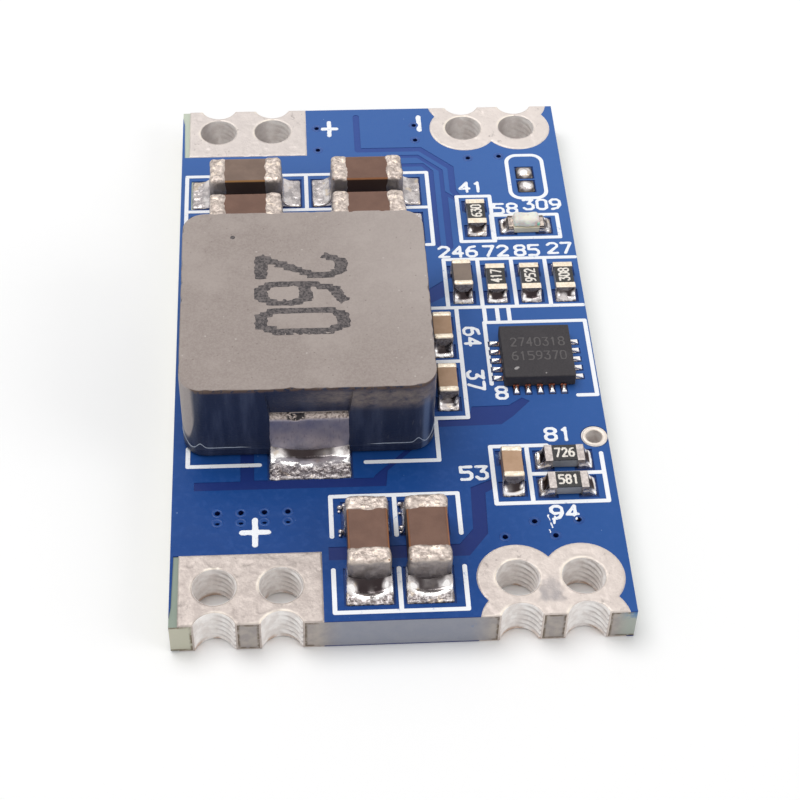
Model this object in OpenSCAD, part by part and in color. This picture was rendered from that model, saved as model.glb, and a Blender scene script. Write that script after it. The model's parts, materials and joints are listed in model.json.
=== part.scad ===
// Buck converter module. A blue circuit board with plated screw holes and
// plated edge notches at both ends carries a moulded power inductor, chip
// capacitors, chip resistors, a leadless controller and an indicator lamp.
// +X runs from the plus terminals to the minus terminals, +Y runs from the
// front edge to the back edge, and the underside lies on z = 0.

/* [Board] */
// Width of the board, from the plus side to the minus side
board_w = 17.7; // [17.6:0.1:19]
// Length of the board, from the front edge to the back edge
board_l = 30; // [29.8:0.1:33]
// Thickness of the glass-fibre laminate
laminate_t = 1.5; // [0.8:0.1:2.4]
// Thickness of the copper and solder mask on each face
skin_t = 0.05; // [0.04:0.01:0.1]
// Depth of the channels in the mask where no copper lies under it
channel_depth = 0.02; // [0.005:0.005:0.03]
// Width of the white printed lines
print_w = 0.18; // [0.1:0.01:0.22]
// Thickness of the white print
print_t = 0.015; // [0.01:0.005:0.04]

/* [Terminals] */
// Diameter of a plated terminal hole
hole_d = 1.7; // [1.2:0.05:1.8]
// Distance between the two holes of a terminal
hole_pitch = 2.54; // [2.5:0.02:2.6]
// Thickness of the plating on a hole's wall
plating_t = 0.06; // [0.03:0.01:0.1]
// Distance of the outer plus hole from the left edge
plus_hole_inset = 1.7; // [1.5:0.05:2]
// Distance of the outer minus hole from the right edge
minus_hole_inset = 1.85; // [1.7:0.05:2]
// Distance of the front holes from the front edge
front_hole_inset = 1.75; // [1.6:0.05:1.95]
// Distance of the back holes from the back edge
back_hole_inset = 1.55; // [1.5:0.05:1.75]
// Distance of the front notch centres outside the front edge
front_notch_out = 0.3; // [0.2:0.05:0.5]
// Distance of the back notch centres outside the back edge
back_notch_out = 0.3; // [0.2:0.05:0.5]
// Diameter of the ring of tin round each minus hole
minus_ring_d = 3.2; // [2.8:0.1:3.3]
// Width of the rectangular plus pads
plus_pad_w = 5.5; // [5.3:0.1:5.8]
// Depth of the plus pads, inwards from the end of the board
plus_pad_l = 3.3; // [3.1:0.1:3.4]
// Bare laminate left of a plus pad
plus_pad_inset = 0.33; // [0.25:0.01:0.45]
// Strip of mask left between that bare laminate and the left edge
mask_strip_w = 0.12; // [0.05:0.01:0.18]

/* [Power inductor] */
// Width of the moulded body
inductor_w = 10.15; // [9.8:0.05:10.2]
// Length of the moulded body
inductor_l = 10.2; // [9.8:0.05:10.4]
// Height of the moulded body
inductor_h = 3.9; // [3:0.1:6]
// Radius of the body's upright corners
inductor_corner_r = 0.95; // [0.3:0.05:1.2]
// Bevel of the body's upper and lower edges
inductor_bevel = 0.07; // [0.04:0.01:0.12]
// Distance of the body's centre from the left edge
inductor_x = 5.5; // [5.4:0.05:5.6]
// Share of the board's spare length that lies in front of the inductor's front pad
inductor_share = 0.58; // [0.57:0.005:0.59]
// Width of the terminal straps
strap_w = 3.15; // [2.4:0.05:3.4]
// Thickness of the terminal straps
strap_t = 0.2; // [0.15:0.01:0.25]
// Height on the body at which the straps leave it
strap_exit_h = 2.25; // [1.6:0.05:2.6]
// Length of a strap's foot under the body
strap_foot = 1.8; // [1.2:0.1:2.5]
// Depth of the pocket above each strap
pocket_depth = 0.25; // [0.22:0.01:0.35]
// Width of that pocket at the body's upper edge
pocket_top_w = 3.6; // [3.5:0.05:4.2]

/* [Power capacitors] */
// Length of a power capacitor
power_cap_l = 3.25; // [3:0.05:3.3]
// Width of a power capacitor
power_cap_w = 1.68; // [1.4:0.02:1.76]
// Height of a power capacitor
power_cap_h = 1.55; // [0.9:0.05:1.8]
// Length of a power capacitor's tinned ends
power_cap_end = 0.8; // [0.6:0.02:0.86]
// Distance of the first back column of capacitors from the left edge
back_cap_x = 3; // [2.95:0.05:3.1]
// Distance between the two back columns
back_cap_pitch_x = 5.48; // [5.4:0.02:5.6]
// Share of the board's spare length between the inductor's back pad and the back capacitors
back_cap_share = 0.151; // [0.13:0.001:0.17]
// Distance between the two back rows
back_cap_pitch_y = 2.4; // [2.3:0.02:2.45]
// Share of the spare width at the front that lies left of the front capacitors
front_left_share = 0.3915; // [0.37:0.0005:0.42]
// Share of the spare width at the front that lies between the front capacitors
front_middle_share = 0.198; // [0.15:0.001:0.21]
// Share of the spare length there that lies in front of the front capacitors
front_cap_share = 0.3525; // [0.3:0.0005:0.37]

/* [Small chips] */
// Length of a small capacitor, a resistor or the lamp
small_l = 1.6; // [1.5:0.02:1.64]
// Width of a small capacitor
small_cap_w = 0.85; // [0.7:0.02:0.9]
// Height of a small capacitor
small_cap_h = 0.8; // [0.5:0.05:1]
// Width of a resistor
resistor_w = 0.85; // [0.7:0.02:0.88]
// Height of a resistor
resistor_h = 0.47; // [0.35:0.01:0.6]
// Thickness of the black overcoat on a resistor
overcoat_t = 0.05; // [0.03:0.01:0.08]
// Length of the tinned ends of the small chips
small_end = 0.3; // [0.15:0.01:0.4]
// Share of the spare width left of the row of four upright chips
row_left_share = 0.4444; // [0.42:0.0004:0.45]
// Share of the spare width in each gap of that row
row_gap_share = 0.1538; // [0.145:0.0001:0.16]
// Place of that row along the board, as a share of the board's length
row_share = 0.594; // [0.59:0.001:0.6]
// Distance between the two level resistors
level_pitch = 1.4; // [1.3:0.01:1.42]
// Height of the lamp's clear moulding above its base
lens_h = 0.36; // [0.2:0.02:0.5]
// Thickness of the lamp's base
lamp_base_h = 0.26; // [0.15:0.01:0.4]

/* [Controller] */
// Width and length of the controller's package
package_w = 3; // [2.9:0.02:3.1]
// Height of the controller's package
package_h = 0.6; // [0.5:0.05:1]
// Number of contacts on each side of the controller
contact_count = 5; // [3:1:5]
// Distance between neighbouring contacts
contact_pitch = 0.5; // [0.45:0.01:0.54]
// Width of a contact
contact_w = 0.24; // [0.16:0.01:0.28]
// Share of the spare width that lies right of the controller
package_right_share = 0.26; // [0.22:0.01:0.3]
// Place of the controller along the board, as a share of the board's length
package_share = 0.4383; // [0.4365:0.0001:0.441]

/* [Solder] */
// Thickness of solder between a pad and the part that stands on it
solder_film = 0.03; // [0.01:0.01:0.06]
// Length of a power capacitor's pad beyond the capacitor's end
power_toe = 0.87; // [0.6:0.01:0.9]
// Length of a small chip's pad beyond the chip's end
small_toe = 0.38; // [0.25:0.01:0.42]
// Height that solder climbs on a power part
power_rise = 0.5; // [0.2:0.02:0.8]
// Height that solder climbs on a small chip
small_rise = 0.3; // [0.1:0.02:0.34]
// Width by which a pad stands out beside its part
pad_side = 0.1; // [0.02:0.01:0.12]
// Length of the inductor's pad in front of the body
inductor_toe = 1.28; // [0.9:0.02:1.3]
// Bare gap between a pad and the mask round it
mask_gap = 0.04; // [0.02:0.01:0.06]

/* [Hidden] */
$fn = 40;
eps = 0.01;

// heights
z_low = skin_t;
z_high = skin_t + laminate_t;
z_top = z_high + skin_t;
z_seat = z_top + solder_film;

// thin layers and small roundings
power_wrap = 0.05;
wrap_t = 0.03;
body_clear = 0.03;
power_round = 0.16;
small_round = 0.05;
edge_round = 0.03;

// share of a pad's free length that its solder fillet covers
fillet_share = 0.8;

// terminal holes, left to right, as distances from the left edge
plus_xs = [plus_hole_inset, plus_hole_inset + hole_pitch];
minus_xs = [board_w - minus_hole_inset - hole_pitch, board_w - minus_hole_inset];
back_hole_y = board_l - back_hole_inset;

// pads beyond the controller's sides and under it, and the open jumper
contact_toe = 0.42;
thermal_pad_w = 1.7;
jumper_pad = [0.8, 0.78];
jumper_pitch = 0.95;

// the copper that the parts lie between
plus_right = plus_pad_inset + plus_pad_w;
minus_left = minus_xs[0] - minus_ring_d / 2;
power_pads_l = power_cap_l + 2 * power_toe;
power_pads_w = power_cap_w + 2 * pad_side;
small_pads_w = small_cap_w + 2 * pad_side;

// spare length of the board between the plus pads, shared out between the parts
inductor_pads_l = inductor_l + 2 * inductor_toe;
spare_l = board_l - 2 * plus_pad_l - inductor_pads_l - back_cap_pitch_y - power_pads_w;
inductor_pad_y = plus_pad_l + inductor_share * spare_l;
inductor_y = inductor_pad_y + inductor_pads_l / 2;
inductor_front = inductor_y - inductor_l / 2;
back_cap_y = inductor_pad_y + inductor_pads_l + back_cap_share * spare_l + power_pads_w / 2;
front_cap_y = power_pads_l / 2 + front_cap_share * (inductor_pad_y - power_pads_l);

// spare width at the front, between the plus pad and the minus pad
front_spare_w = minus_left - plus_right - 2 * power_pads_w;
front_cap_x = plus_right + front_left_share * front_spare_w + power_pads_w / 2;
front_cap_pitch = power_pads_w + front_middle_share * front_spare_w;

// spare width right of the inductor, beside the row and beside the controller
inductor_right = inductor_x + inductor_w / 2;
right_room = board_w - inductor_right;
row_spare_w = right_room - 4 * small_pads_w;
row_x = inductor_right + row_left_share * row_spare_w + small_pads_w / 2;
row_pitch = small_pads_w + row_gap_share * row_spare_w;
row_y = board_l * row_share;
row_front = row_y - 1.42;
row_back = row_y + 1.6;
package_half = package_w / 2 + contact_toe;
package_spare_w = right_room - small_pads_w - 2 * package_half;
package_x = board_w - package_right_share * package_spare_w - package_half;
package_y = board_l * package_share;
beside_inductor_x = inductor_right + 0.087 * package_spare_w + small_pads_w / 2;

// printed frames: half their width and half their length round a small chip
frame_w = 0.76;
frame_l = 1.51;
beside_line = beside_inductor_x + frame_w;

// places of the parts: x, y and turn
level_x = board_w - 1.97;
level_y = board_l * 0.2057;
test_ring_d = 1.08;
test_bore_d = 0.74;
test_hole = [board_w - test_ring_d / 2 - 0.02, board_l * 0.2933];
back_caps = [for (j = [1, 0], i = [0, 1])
    [back_cap_x + i * back_cap_pitch_x, back_cap_y + j * back_cap_pitch_y, 0]];
front_caps = [for (i = [0, 1]) [front_cap_x + i * front_cap_pitch, front_cap_y, 90]];
power_caps = concat(back_caps, front_caps);
small_caps = [
    [row_x, row_y, 90],
    [beside_inductor_x, board_l * 0.4873, 90],
    [beside_inductor_x, board_l * 0.3867, 90],
    [board_w - 4.15, board_l * 0.2317, 90]
];
resistors = [
    [board_w - 4.32, board_l - 7.92, 90],
    [row_x + row_pitch, row_y, 90],
    [row_x + 2 * row_pitch, row_y, 90],
    [row_x + 3 * row_pitch, row_y, 90],
    [level_x, level_y + level_pitch, 0],
    [level_x, level_y, 0]
];
lamp = [board_w - 2.1, board_l - 8.5, 0];
jumper = [board_w - 1.78, board_l - 5.3];

// covered via holes: plus and minus copper at the front and at the back
via_d = 0.4;
via_bore = 0.26;
via_pitch = [0.92, 0.6];
plus_via = [1.8, plus_pad_l + 0.393 * inductor_share * spare_l];
front_vias = concat(
    [for (i = [0 : 3], j = [0, 1]) [plus_via.x + via_pitch.x * i, plus_via.y + via_pitch.y * j]],
    [for (p = [[4.7, 3.75], [3.47, 4.48], [2.71, 3.75], [1.72, 4.5]]) [board_w - p.x, p.y]]
);
back_vias = [for (p = [[plus_right + 0.5, 1.35], [plus_right + 0.52, 2.93], [minus_left - 0.74, 1.25],
                       [minus_left - 0.74, 2.33], [board_w - 4.33, 3.7], [board_w - 2.87, 3.62]])
    [p.x, board_l - p.y]];
vias = concat(front_vias, back_vias);

// ---- helpers ----

// Puts the board's front left corner at a place that centres the board on z.
module on_board() {
    translate([-board_w / 2, -board_l / 2, 0]) children();
}

module place(p) {
    translate([p[0], p[1], 0]) rotate(p[2]) children();
}

// A rectangle about the origin with round corners.
module round_rect(w, l, r) {
    square([w - 2 * r, l], center = true);
    square([w, l - 2 * r], center = true);
    for (sx = [-1, 1], sy = [-1, 1])
        translate([sx * (w / 2 - r), sy * (l / 2 - r)]) circle(r);
}

// A rectangle about the origin with cut corners.
module bevel_rect(w, l, c) {
    polygon([
        [-w / 2 + c, -l / 2], [w / 2 - c, -l / 2], [w / 2, -l / 2 + c], [w / 2, l / 2 - c],
        [w / 2 - c, l / 2], [-w / 2 + c, l / 2], [-w / 2, l / 2 - c], [-w / 2, -l / 2 + c]
    ]);
}

// A block that stands on z = 0, centred on the z axis, with round edges.
module soft_box(w, l, h, r) {
    intersection() {
        linear_extrude(h) round_rect(w, l, r);
        translate([w / 2, 0, h / 2]) rotate([90, 0, -90]) linear_extrude(w) round_rect(l, h, r);
        translate([0, l / 2, h / 2]) rotate([90, 0, 0]) linear_extrude(l) round_rect(w, h, r);
    }
}

// One straight printed line with round ends.
module stroke(a, b, w) {
    d = b - a;
    translate(a) rotate(atan2(d.y, d.x)) translate([0, -w / 2]) square([norm(d), w]);
    translate(a) circle(w / 2, $fn = 16);
    translate(b) circle(w / 2, $fn = 16);
}

module path(points, w) {
    for (i = [0 : len(points) - 2]) stroke(points[i], points[i + 1], w);
}

// ---- board ----

module board_outline() {
    difference() {
        square([board_w, board_l]);
        for (x = concat(plus_xs, minus_xs)) {
            translate([x, -front_notch_out]) circle(hole_d / 2 + plating_t);
            translate([x, board_l + back_notch_out]) circle(hole_d / 2 + plating_t);
        }
    }
}

module terminal_holes(d) {
    for (x = concat(plus_xs, minus_xs), y = [front_hole_inset, back_hole_y])
        translate([x, y]) circle(d / 2);
}

module board_laminate() {
    color("#b9bca6") on_board() translate([0, 0, z_low]) linear_extrude(laminate_t)
        difference() {
            board_outline();
            terminal_holes(hole_d + 2 * plating_t);
            translate(test_hole) circle(test_bore_d / 2 + plating_t);
            for (v = vias) translate(v) circle(via_d / 2);
        }
}

// ---- terminals ----

module plus_plate(far) {
    translate([plus_pad_inset, far ? board_l - plus_pad_l : 0]) square([plus_pad_w, plus_pad_l]);
}

module minus_plate(hole_y, notch_y) {
    intersection() {
        square([board_w, board_l]);
        union() {
            for (x = minus_xs, y = [hole_y, notch_y]) translate([x, y]) circle(minus_ring_d / 2);
            translate([minus_xs[0], min(hole_y, notch_y)]) square([hole_pitch, abs(hole_y - notch_y)]);
        }
    }
}

// Tin plates on both faces, joined by the plated walls of the holes and notches.
module terminal(xs, hole_y, notch_y) {
    difference() {
        union() {
            for (z = [0, z_high]) translate([0, 0, z]) linear_extrude(skin_t) children();
            for (x = xs) translate([x, hole_y, 0]) cylinder(d = hole_d + 2 * plating_t, h = z_top);
            intersection() {
                cube([board_w, board_l, z_top]);
                for (x = xs) translate([x, notch_y, 0])
                    cylinder(d = hole_d + 2 * plating_t, h = z_top);
            }
        }
        for (x = xs, y = [hole_y, notch_y])
            translate([x, y, -eps]) cylinder(d = hole_d, h = z_top + 2 * eps);
    }
}

module plus_terminal_front() {
    color("#d8cfc4") on_board() terminal(plus_xs, front_hole_inset, -front_notch_out) plus_plate(false);
}

module plus_terminal_back() {
    color("#d8cfc4") on_board() terminal(plus_xs, back_hole_y, board_l + back_notch_out) plus_plate(true);
}

module minus_terminal_front() {
    color("#d8cfc4") on_board() terminal(minus_xs, front_hole_inset, -front_notch_out)
        minus_plate(front_hole_inset, -front_notch_out);
}

module minus_terminal_back() {
    color("#d8cfc4") on_board() terminal(minus_xs, back_hole_y, board_l + back_notch_out)
        minus_plate(back_hole_y, board_l + back_notch_out);
}

module all_plates() {
    plus_plate(false);
    plus_plate(true);
    minus_plate(front_hole_inset, -front_notch_out);
    minus_plate(back_hole_y, board_l + back_notch_out);
}

module test_hole_ring() {
    color("#d8cfc4") on_board() translate([test_hole.x, test_hole.y, 0]) difference() {
        union() {
            for (z = [0, z_high]) translate([0, 0, z]) cylinder(d = test_ring_d, h = skin_t);
            cylinder(d = test_bore_d + 2 * plating_t, h = z_top);
        }
        translate([0, 0, -eps]) cylinder(d = test_bore_d, h = z_top + 2 * eps);
    }
}

module via_barrels() {
    color("#b87333") on_board() for (v = vias) translate([v.x, v.y, z_low]) difference() {
        cylinder(d = via_d, h = laminate_t);
        translate([0, 0, -eps]) cylinder(d = via_bore, h = laminate_t + 2 * eps);
    }
}

// ---- pads under the parts ----

// Two pads of one chip, for a chip of length l and width w that lies along x.
module chip_pads(l, w, end, toe, grow) {
    pad_l = toe + end + 0.05;
    for (s = [-1, 1])
        translate([s * (l / 2 + toe - pad_l / 2), 0])
            square([pad_l + 2 * grow, w + 2 * pad_side + 2 * grow], center = true);
}

module inductor_pads(grow) {
    pad_l = inductor_toe + strap_foot;
    for (s = [-1, 1])
        translate([inductor_x, inductor_y + s * (inductor_l / 2 + inductor_toe - pad_l / 2)])
            square([strap_w + 2 * pad_side + 2 * grow, pad_l + 2 * grow], center = true);
}

module jumper_shapes(grow) {
    for (s = [-1, 1]) translate([jumper.x, jumper.y + s * jumper_pitch / 2])
        square([jumper_pad.x + 2 * grow, jumper_pad.y + 2 * grow], center = true);
}

// the end contacts of two neighbouring sides stay clear of each other at the corner
contact_reach = (contact_count - 1) / 2 * contact_pitch + contact_w / 2;
contact_len = min(0.35, package_w / 2 - contact_reach - 2 * mask_gap - 0.03);
// Calls its children at the foot of each contact, with +x pointing outwards.
module at_contacts() {
    for (side = [0 : 3], i = [0 : contact_count - 1])
        translate([package_x, package_y]) rotate(90 * side)
            translate([package_w / 2, (i - (contact_count - 1) / 2) * contact_pitch]) children();
}

module controller_pads(grow) {
    at_contacts() translate([-contact_len - grow, -contact_w / 2 - grow])
        square([contact_len + contact_toe + 2 * grow, contact_w + 2 * grow]);
    translate([package_x, package_y]) square(thermal_pad_w + 2 * grow, center = true);
}

module chip_openings(grow) {
    for (p = power_caps) place(p) chip_pads(power_cap_l, power_cap_w, power_cap_end, power_toe, grow);
    for (p = small_caps) place(p) chip_pads(small_l, small_cap_w, small_end, small_toe, grow);
    for (p = concat(resistors, [lamp])) place(p) chip_pads(small_l, resistor_w, small_end, small_toe, grow);
    inductor_pads(grow);
    jumper_shapes(grow);
    controller_pads(grow);
}

// ---- solder mask ----

// Bare laminate beside a plus pad: the mask strip there runs out at the corner.
module plus_relief(far) {
    translate([0, far ? board_l : 0]) mirror([0, far ? 1 : 0])
        polygon([[-eps, -eps], [plus_pad_inset + eps, -eps], [plus_pad_inset + eps, plus_pad_l],
                 [mask_strip_w, plus_pad_l], [mask_strip_w * 0.6, 0.9], [-eps, 0.35]]);
}

module mask_outline() {
    difference() {
        board_outline();
        all_plates();
        terminal_holes(hole_d + 2 * plating_t);
        plus_relief(false);
        plus_relief(true);
        translate(test_hole) circle(test_ring_d / 2 + mask_gap);
    }
}

// Shallow channels between the areas of copper, seen through the mask.
module mask_channels() {
    // between the back plus and minus copper, then round the feedback track
    translate([minus_left, board_l]) {
        path([[-3.48, -0.55], [-3.48, -3], [-0.56, -3], [0.79, -4.35], [0.79, -6], [0.99, -6.4]], 0.3);
        path([[-2.11, -3.5], [-0.71, -3.5], [0.32, -4.55], [0.32, -6.05], [0.84, -6.55]], 0.2);
        path([[0.37, -6.2], [0.37, -9.75]], 0.3);
        path([[-2.11, -4.12], [-0.51, -4.12], [-0.14, -4.6], [-0.14, -9.6]], 0.22);
    }
    // in front of the controller
    translate([package_x, package_y])
        polygon([[-4.4, -3.6], [-1.8, -3.55], [-1.25, -3.1], [-0.5, -2.3], [-0.82, -2.1],
                 [-1.4, -2.5], [-2.95, -2.53], [-3.1, -3.15], [-4.4, -3.15]]);
    // between the inductor and the front capacitors
    translate([0, inductor_front])
        polygon([[0.86, -1.75], [8.5, -1.77], [8.6, -0.97], [9.75, 0.18], [9.45, 0.18], [8.1, -1.17],
                 [8, -1.32], [3.25, -1.29], [3.25, 0.13], [2.7, 0.13], [2.7, -1.32], [0.86, -1.32]]);
    // under the front capacitors and up towards the fourth small capacitor
    translate([front_cap_x, front_cap_y])
        polygon([[-1.5, -0.32], [3.95, -0.3], [4.75, 0.75], [4.82, 2.8], [5.15, 3], [5.15, 3.5],
                 [4.25, 3.1], [4.18, 1], [3.6, 0.28], [-1.5, 0.32]]);
    // beside the row of upright chips
    translate([row_x, row_y]) polygon([[-1.45, -1.12], [-0.8, -0.72], [-0.8, 0.28], [-1.45, -0.22]]);
}

module solder_mask_top() {
    color("#2a63ad") on_board() difference() {
        translate([0, 0, z_high]) linear_extrude(skin_t) difference() {
            mask_outline();
            chip_openings(mask_gap);
            for (v = vias) translate(v) circle(via_bore / 2);
        }
        translate([0, 0, z_top - channel_depth]) linear_extrude(skin_t) mask_channels();
    }
}

module solder_mask_bottom() {
    color("#2a63ad") on_board() linear_extrude(skin_t) mask_outline();
}

// ---- white print ----

// A closed printed frame round one chip.
module chip_frame(p, half_x, half_y) {
    path([[p.x - half_x, p.y - half_y], [p.x + half_x, p.y - half_y], [p.x + half_x, p.y + half_y],
          [p.x - half_x, p.y + half_y], [p.x - half_x, p.y - half_y]], print_w);
}

// The open brackets round the power capacitors at the back.
module back_print() {
    half = power_cap_l / 2 + power_toe + 0.24;
    left = back_caps[0].x - half;
    middle = (back_caps[0].x + back_caps[1].x) / 2;
    right = back_caps[1].x + half + 0.13;
    high = back_caps[0].y + back_cap_pitch_y / 2 + 0.08;
    low = high - back_cap_pitch_y;
    path([[left, low - 0.85], [left, high], [right, high], [right, low - 2.5], [right - 0.3, low - 2.5]],
         print_w);
    path([[left, low], [right, low]], print_w);
    path([[middle, low], [middle, high]], print_w);
}

// The box round the two front capacitors, open where their gap lies.
module front_print() {
    left = front_caps[0].x - 1.35;
    right = front_caps[1].x + 1.4;
    middle = (front_caps[0].x + front_caps[1].x) / 2 + 0.02;
    low = front_cap_y - 2.82;
    high = front_cap_y + 2.82;
    opening = 0.81;
    for (end = [[low, -opening], [high, opening]]) {
        path([[left, front_cap_y + end[1]], [left, end[0]], [right, end[0]], [right, front_cap_y + end[1]]],
             print_w);
        path([[middle, end[0]], [middle, front_cap_y + end[1]]], print_w);
    }
}

module inductor_print() {
    left = inductor_x - inductor_w / 2 + 0.17;
    right = inductor_right + 0.13;
    low = inductor_y - inductor_l / 2 - 0.5;
    path([[left, low + 0.95], [left, low], [inductor_x - 2.03, low]], print_w);
    path([[inductor_x + 2.24, low], [right, low], [right, low + 2.25]], print_w);
    path([[right, low + 2.25], [beside_line, low + 2.25]], print_w);
}

module small_print() {
    near = inductor_right + 0.36;
    edge = board_w - print_w / 2;
    first_line = small_caps[0].x - 0.68;
    between = (small_caps[1].y + small_caps[2].y) / 2 + 0.1;
    // the two capacitors beside the inductor share one line
    path([[beside_line, small_caps[2].y - frame_l], [beside_line, row_front]], print_w);
    path([[near, between], [beside_line, between]], print_w);
    // first resistor and lamp
    chip_frame(resistors[0], frame_w, frame_l);
    chip_frame(lamp, frame_l, frame_w);
    // row of four upright chips, open at the board's edge
    path([[edge, row_back], [first_line, row_back], [first_line, row_front]], print_w);
    path([[near, row_front], [edge, row_front]], print_w);
    for (i = [1 : 3])
        path([[first_line + i * row_pitch, row_back], [first_line + i * row_pitch, row_front]], print_w);
    // box of the fourth capacitor and the two level resistors
    bx = [small_caps[3].x - 0.73, small_caps[3].x + 0.74, level_x + 1.57];
    by = [level_y - 0.76, level_y + level_pitch / 2 + 0.02, level_y + level_pitch + 0.82];
    path([[bx[2], by[2] - 0.5], [bx[2], by[0]], [bx[0], by[0]], [bx[0], by[2]], [level_x - 0.6, by[2]]],
         print_w);
    path([[bx[1], by[0]], [bx[1], by[2]]], print_w);
    path([[bx[1], by[1]], [bx[2], by[1]]], print_w);
}

module controller_print() {
    left = package_x - package_w / 2 - 0.5;
    right = package_x + package_w / 2 + 0.86;
    high = package_y + package_w / 2 + 0.8;
    low = package_y - package_w / 2 - 0.55;
    path([[left, low + 0.75], [left, high], [right, high], [right, low], [right - 0.8, low]], print_w);
    // comb between the controller's box and the row behind it
    for (x = [left + 0.06, left + 0.62, left + 1.12]) path([[x, high], [x, row_front]], print_w);
}

module jumper_print() {
    ring_w = 1.66;
    ring_l = 3;
    ring_r = 0.5;
    translate([jumper.x + 0.06, jumper.y + 0.2]) difference() {
        round_rect(ring_w + print_w, ring_l + print_w, ring_r + print_w / 2);
        round_rect(ring_w - print_w, ring_l - print_w, ring_r - print_w / 2);
    }
}

module printed_lines() {
    color("#eef0f2") on_board() translate([0, 0, z_top]) linear_extrude(print_t) {
        difference() {
            union() {
                back_print();
                front_print();
                inductor_print();
                small_print();
                controller_print();
                jumper_print();
            }
            chip_openings(mask_gap);
        }
    }
}

// ---- power inductor ----

z_inductor = z_seat + body_clear;

// how far a strap's outer face stands out of the body, and its length inside the body
strap_out = 0.02;
strap_root = 0.7;

// A strap's bent section, seen from the side: x runs out of the body, y up.
module strap_profile() {
    top = strap_exit_h + body_clear;
    bend = strap_t + 0.1;
    inner = max(strap_foot, pocket_depth + strap_root);
    difference() {
        translate([-inner, 0]) square([inner + strap_out, top]);
        translate([-inner - eps, strap_t]) square([inner + eps + strap_out - strap_t, top - 2 * strap_t]);
        translate([-inner - eps, -eps]) square([inner + eps - strap_foot, strap_t + 2 * eps]);
        translate([-inner - eps, top - strap_t - eps])
            square([inner + eps - pocket_depth - strap_root, strap_t + 2 * eps]);
        for (end = [[top - bend, 0], [bend, 1]])
            translate([strap_out - bend, end[0]]) mirror([0, end[1]]) difference() {
                square(bend + eps);
                circle(bend);
            }
    }
}

// side is -1 for the front strap and 1 for the back strap.
module strap_shape(side) {
    translate([inductor_x - side * strap_w / 2, inductor_y + side * inductor_l / 2, z_seat])
        rotate([90, 0, 90 * side]) linear_extrude(strap_w) strap_profile();
}

// The wedge-shaped pocket above a strap: deepest where the strap leaves the body.
module pocket_shape(side) {
    h = inductor_h - strap_exit_h;
    translate([inductor_x, inductor_y + side * inductor_l / 2, z_seat + strap_exit_h + body_clear])
        rotate([0, 0, side > 0 ? 180 : 0]) intersection() {
            translate([0, 1, 0]) rotate([90, 0, 0]) linear_extrude(2)
                polygon([[-strap_w / 2, -strap_t], [strap_w / 2, -strap_t], [strap_w / 2, 0],
                         [pocket_top_w / 2, h], [-pocket_top_w / 2, h], [-strap_w / 2, 0]]);
            translate([pocket_top_w, 0, 0]) rotate([90, 0, -90]) linear_extrude(2 * pocket_top_w)
                polygon([[eps, -strap_t], [-pocket_depth, -strap_t], [-pocket_depth, 0], [0, h], [eps, h]]);
        }
}

module inductor_body() {
    mid_h = z_inductor + inductor_h / 2;
    seam_h = 0.36;
    color("#35383f") on_board() difference() {
        union() {
            intersection() {
                translate([inductor_x, inductor_y, z_inductor]) linear_extrude(inductor_h)
                    round_rect(inductor_w, inductor_l, inductor_corner_r);
                translate([inductor_x + inductor_w, inductor_y, mid_h]) rotate([90, 0, -90])
                    linear_extrude(2 * inductor_w) bevel_rect(inductor_l, inductor_h, inductor_bevel);
                translate([inductor_x, inductor_y + inductor_l, mid_h]) rotate([90, 0, 0])
                    linear_extrude(2 * inductor_l) bevel_rect(inductor_w, inductor_h, inductor_bevel);
            }
            // flash line of the mould
            translate([inductor_x, inductor_y, z_inductor + seam_h]) linear_extrude(0.04)
                round_rect(inductor_w + 0.03, inductor_l + 0.03, inductor_corner_r);
        }
        for (side = [-1, 1]) {
            strap_shape(side);
            pocket_shape(side);
        }
    }
}

module inductor_strap_front() {
    color("#a9a7b2") on_board() strap_shape(-1);
}

module inductor_strap_back() {
    color("#a9a7b2") on_board() strap_shape(1);
}

// ---- chips ----

// The ceramic block of a chip that is l by w by h over its tinned ends of thickness t.
module chip_block(l, w, h, r, t) {
    translate([0, 0, z_seat + t]) soft_box(l - 2 * t, w - 2 * t, h - 2 * t, r - t / 2);
}

module chip_ends(l, w, h, end, r, t) {
    difference() {
        translate([0, 0, z_seat]) soft_box(l, w, h, r);
        translate([0, 0, z_seat + h / 2]) cube([l - 2 * end, w + 1, h + 1], center = true);
        chip_block(l, w, h, r, t);
    }
}

module power_cap_body(p) {
    color("#7d5a4a") on_board() place(p)
        chip_block(power_cap_l, power_cap_w, power_cap_h, power_round, power_wrap);
}

module power_cap_ends(p) {
    color("#c9c2b8") on_board() place(p)
        chip_ends(power_cap_l, power_cap_w, power_cap_h, power_cap_end, power_round, power_wrap);
}

module small_cap_body(p) {
    color("#b08c70") on_board() place(p)
        chip_block(small_l, small_cap_w, small_cap_h, small_round, wrap_t);
}

module small_cap_ends(p) {
    color("#c9c2b8") on_board() place(p)
        chip_ends(small_l, small_cap_w, small_cap_h, small_end, small_round, wrap_t);
}

// A resistor's ceramic plate is lower in the middle, where the overcoat lies.
module resistor_body(p) {
    color("#d9d6cc") on_board() place(p) difference() {
        resistor_plate();
        resistor_coat_space();
    }
}

module resistor_plate() {
    translate([0, 0, z_seat + resistor_h / 2])
        cube([small_l - 2 * wrap_t, resistor_w - 2 * wrap_t, resistor_h - 2 * wrap_t], center = true);
}

module resistor_coat_space() {
    translate([-small_l / 2 + small_end, -resistor_w / 2, z_seat + resistor_h - overcoat_t])
        cube([small_l - 2 * small_end, resistor_w, overcoat_t]);
}

module resistor_ends(p) {
    color("#c9c2b8") on_board() place(p) difference() {
        translate([0, 0, z_seat]) soft_box(small_l, resistor_w, resistor_h, edge_round);
        translate([0, 0, z_seat + resistor_h / 2])
            cube([small_l - 2 * small_end, resistor_w + 1, resistor_h + 1], center = true);
        resistor_plate();
    }
}

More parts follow.
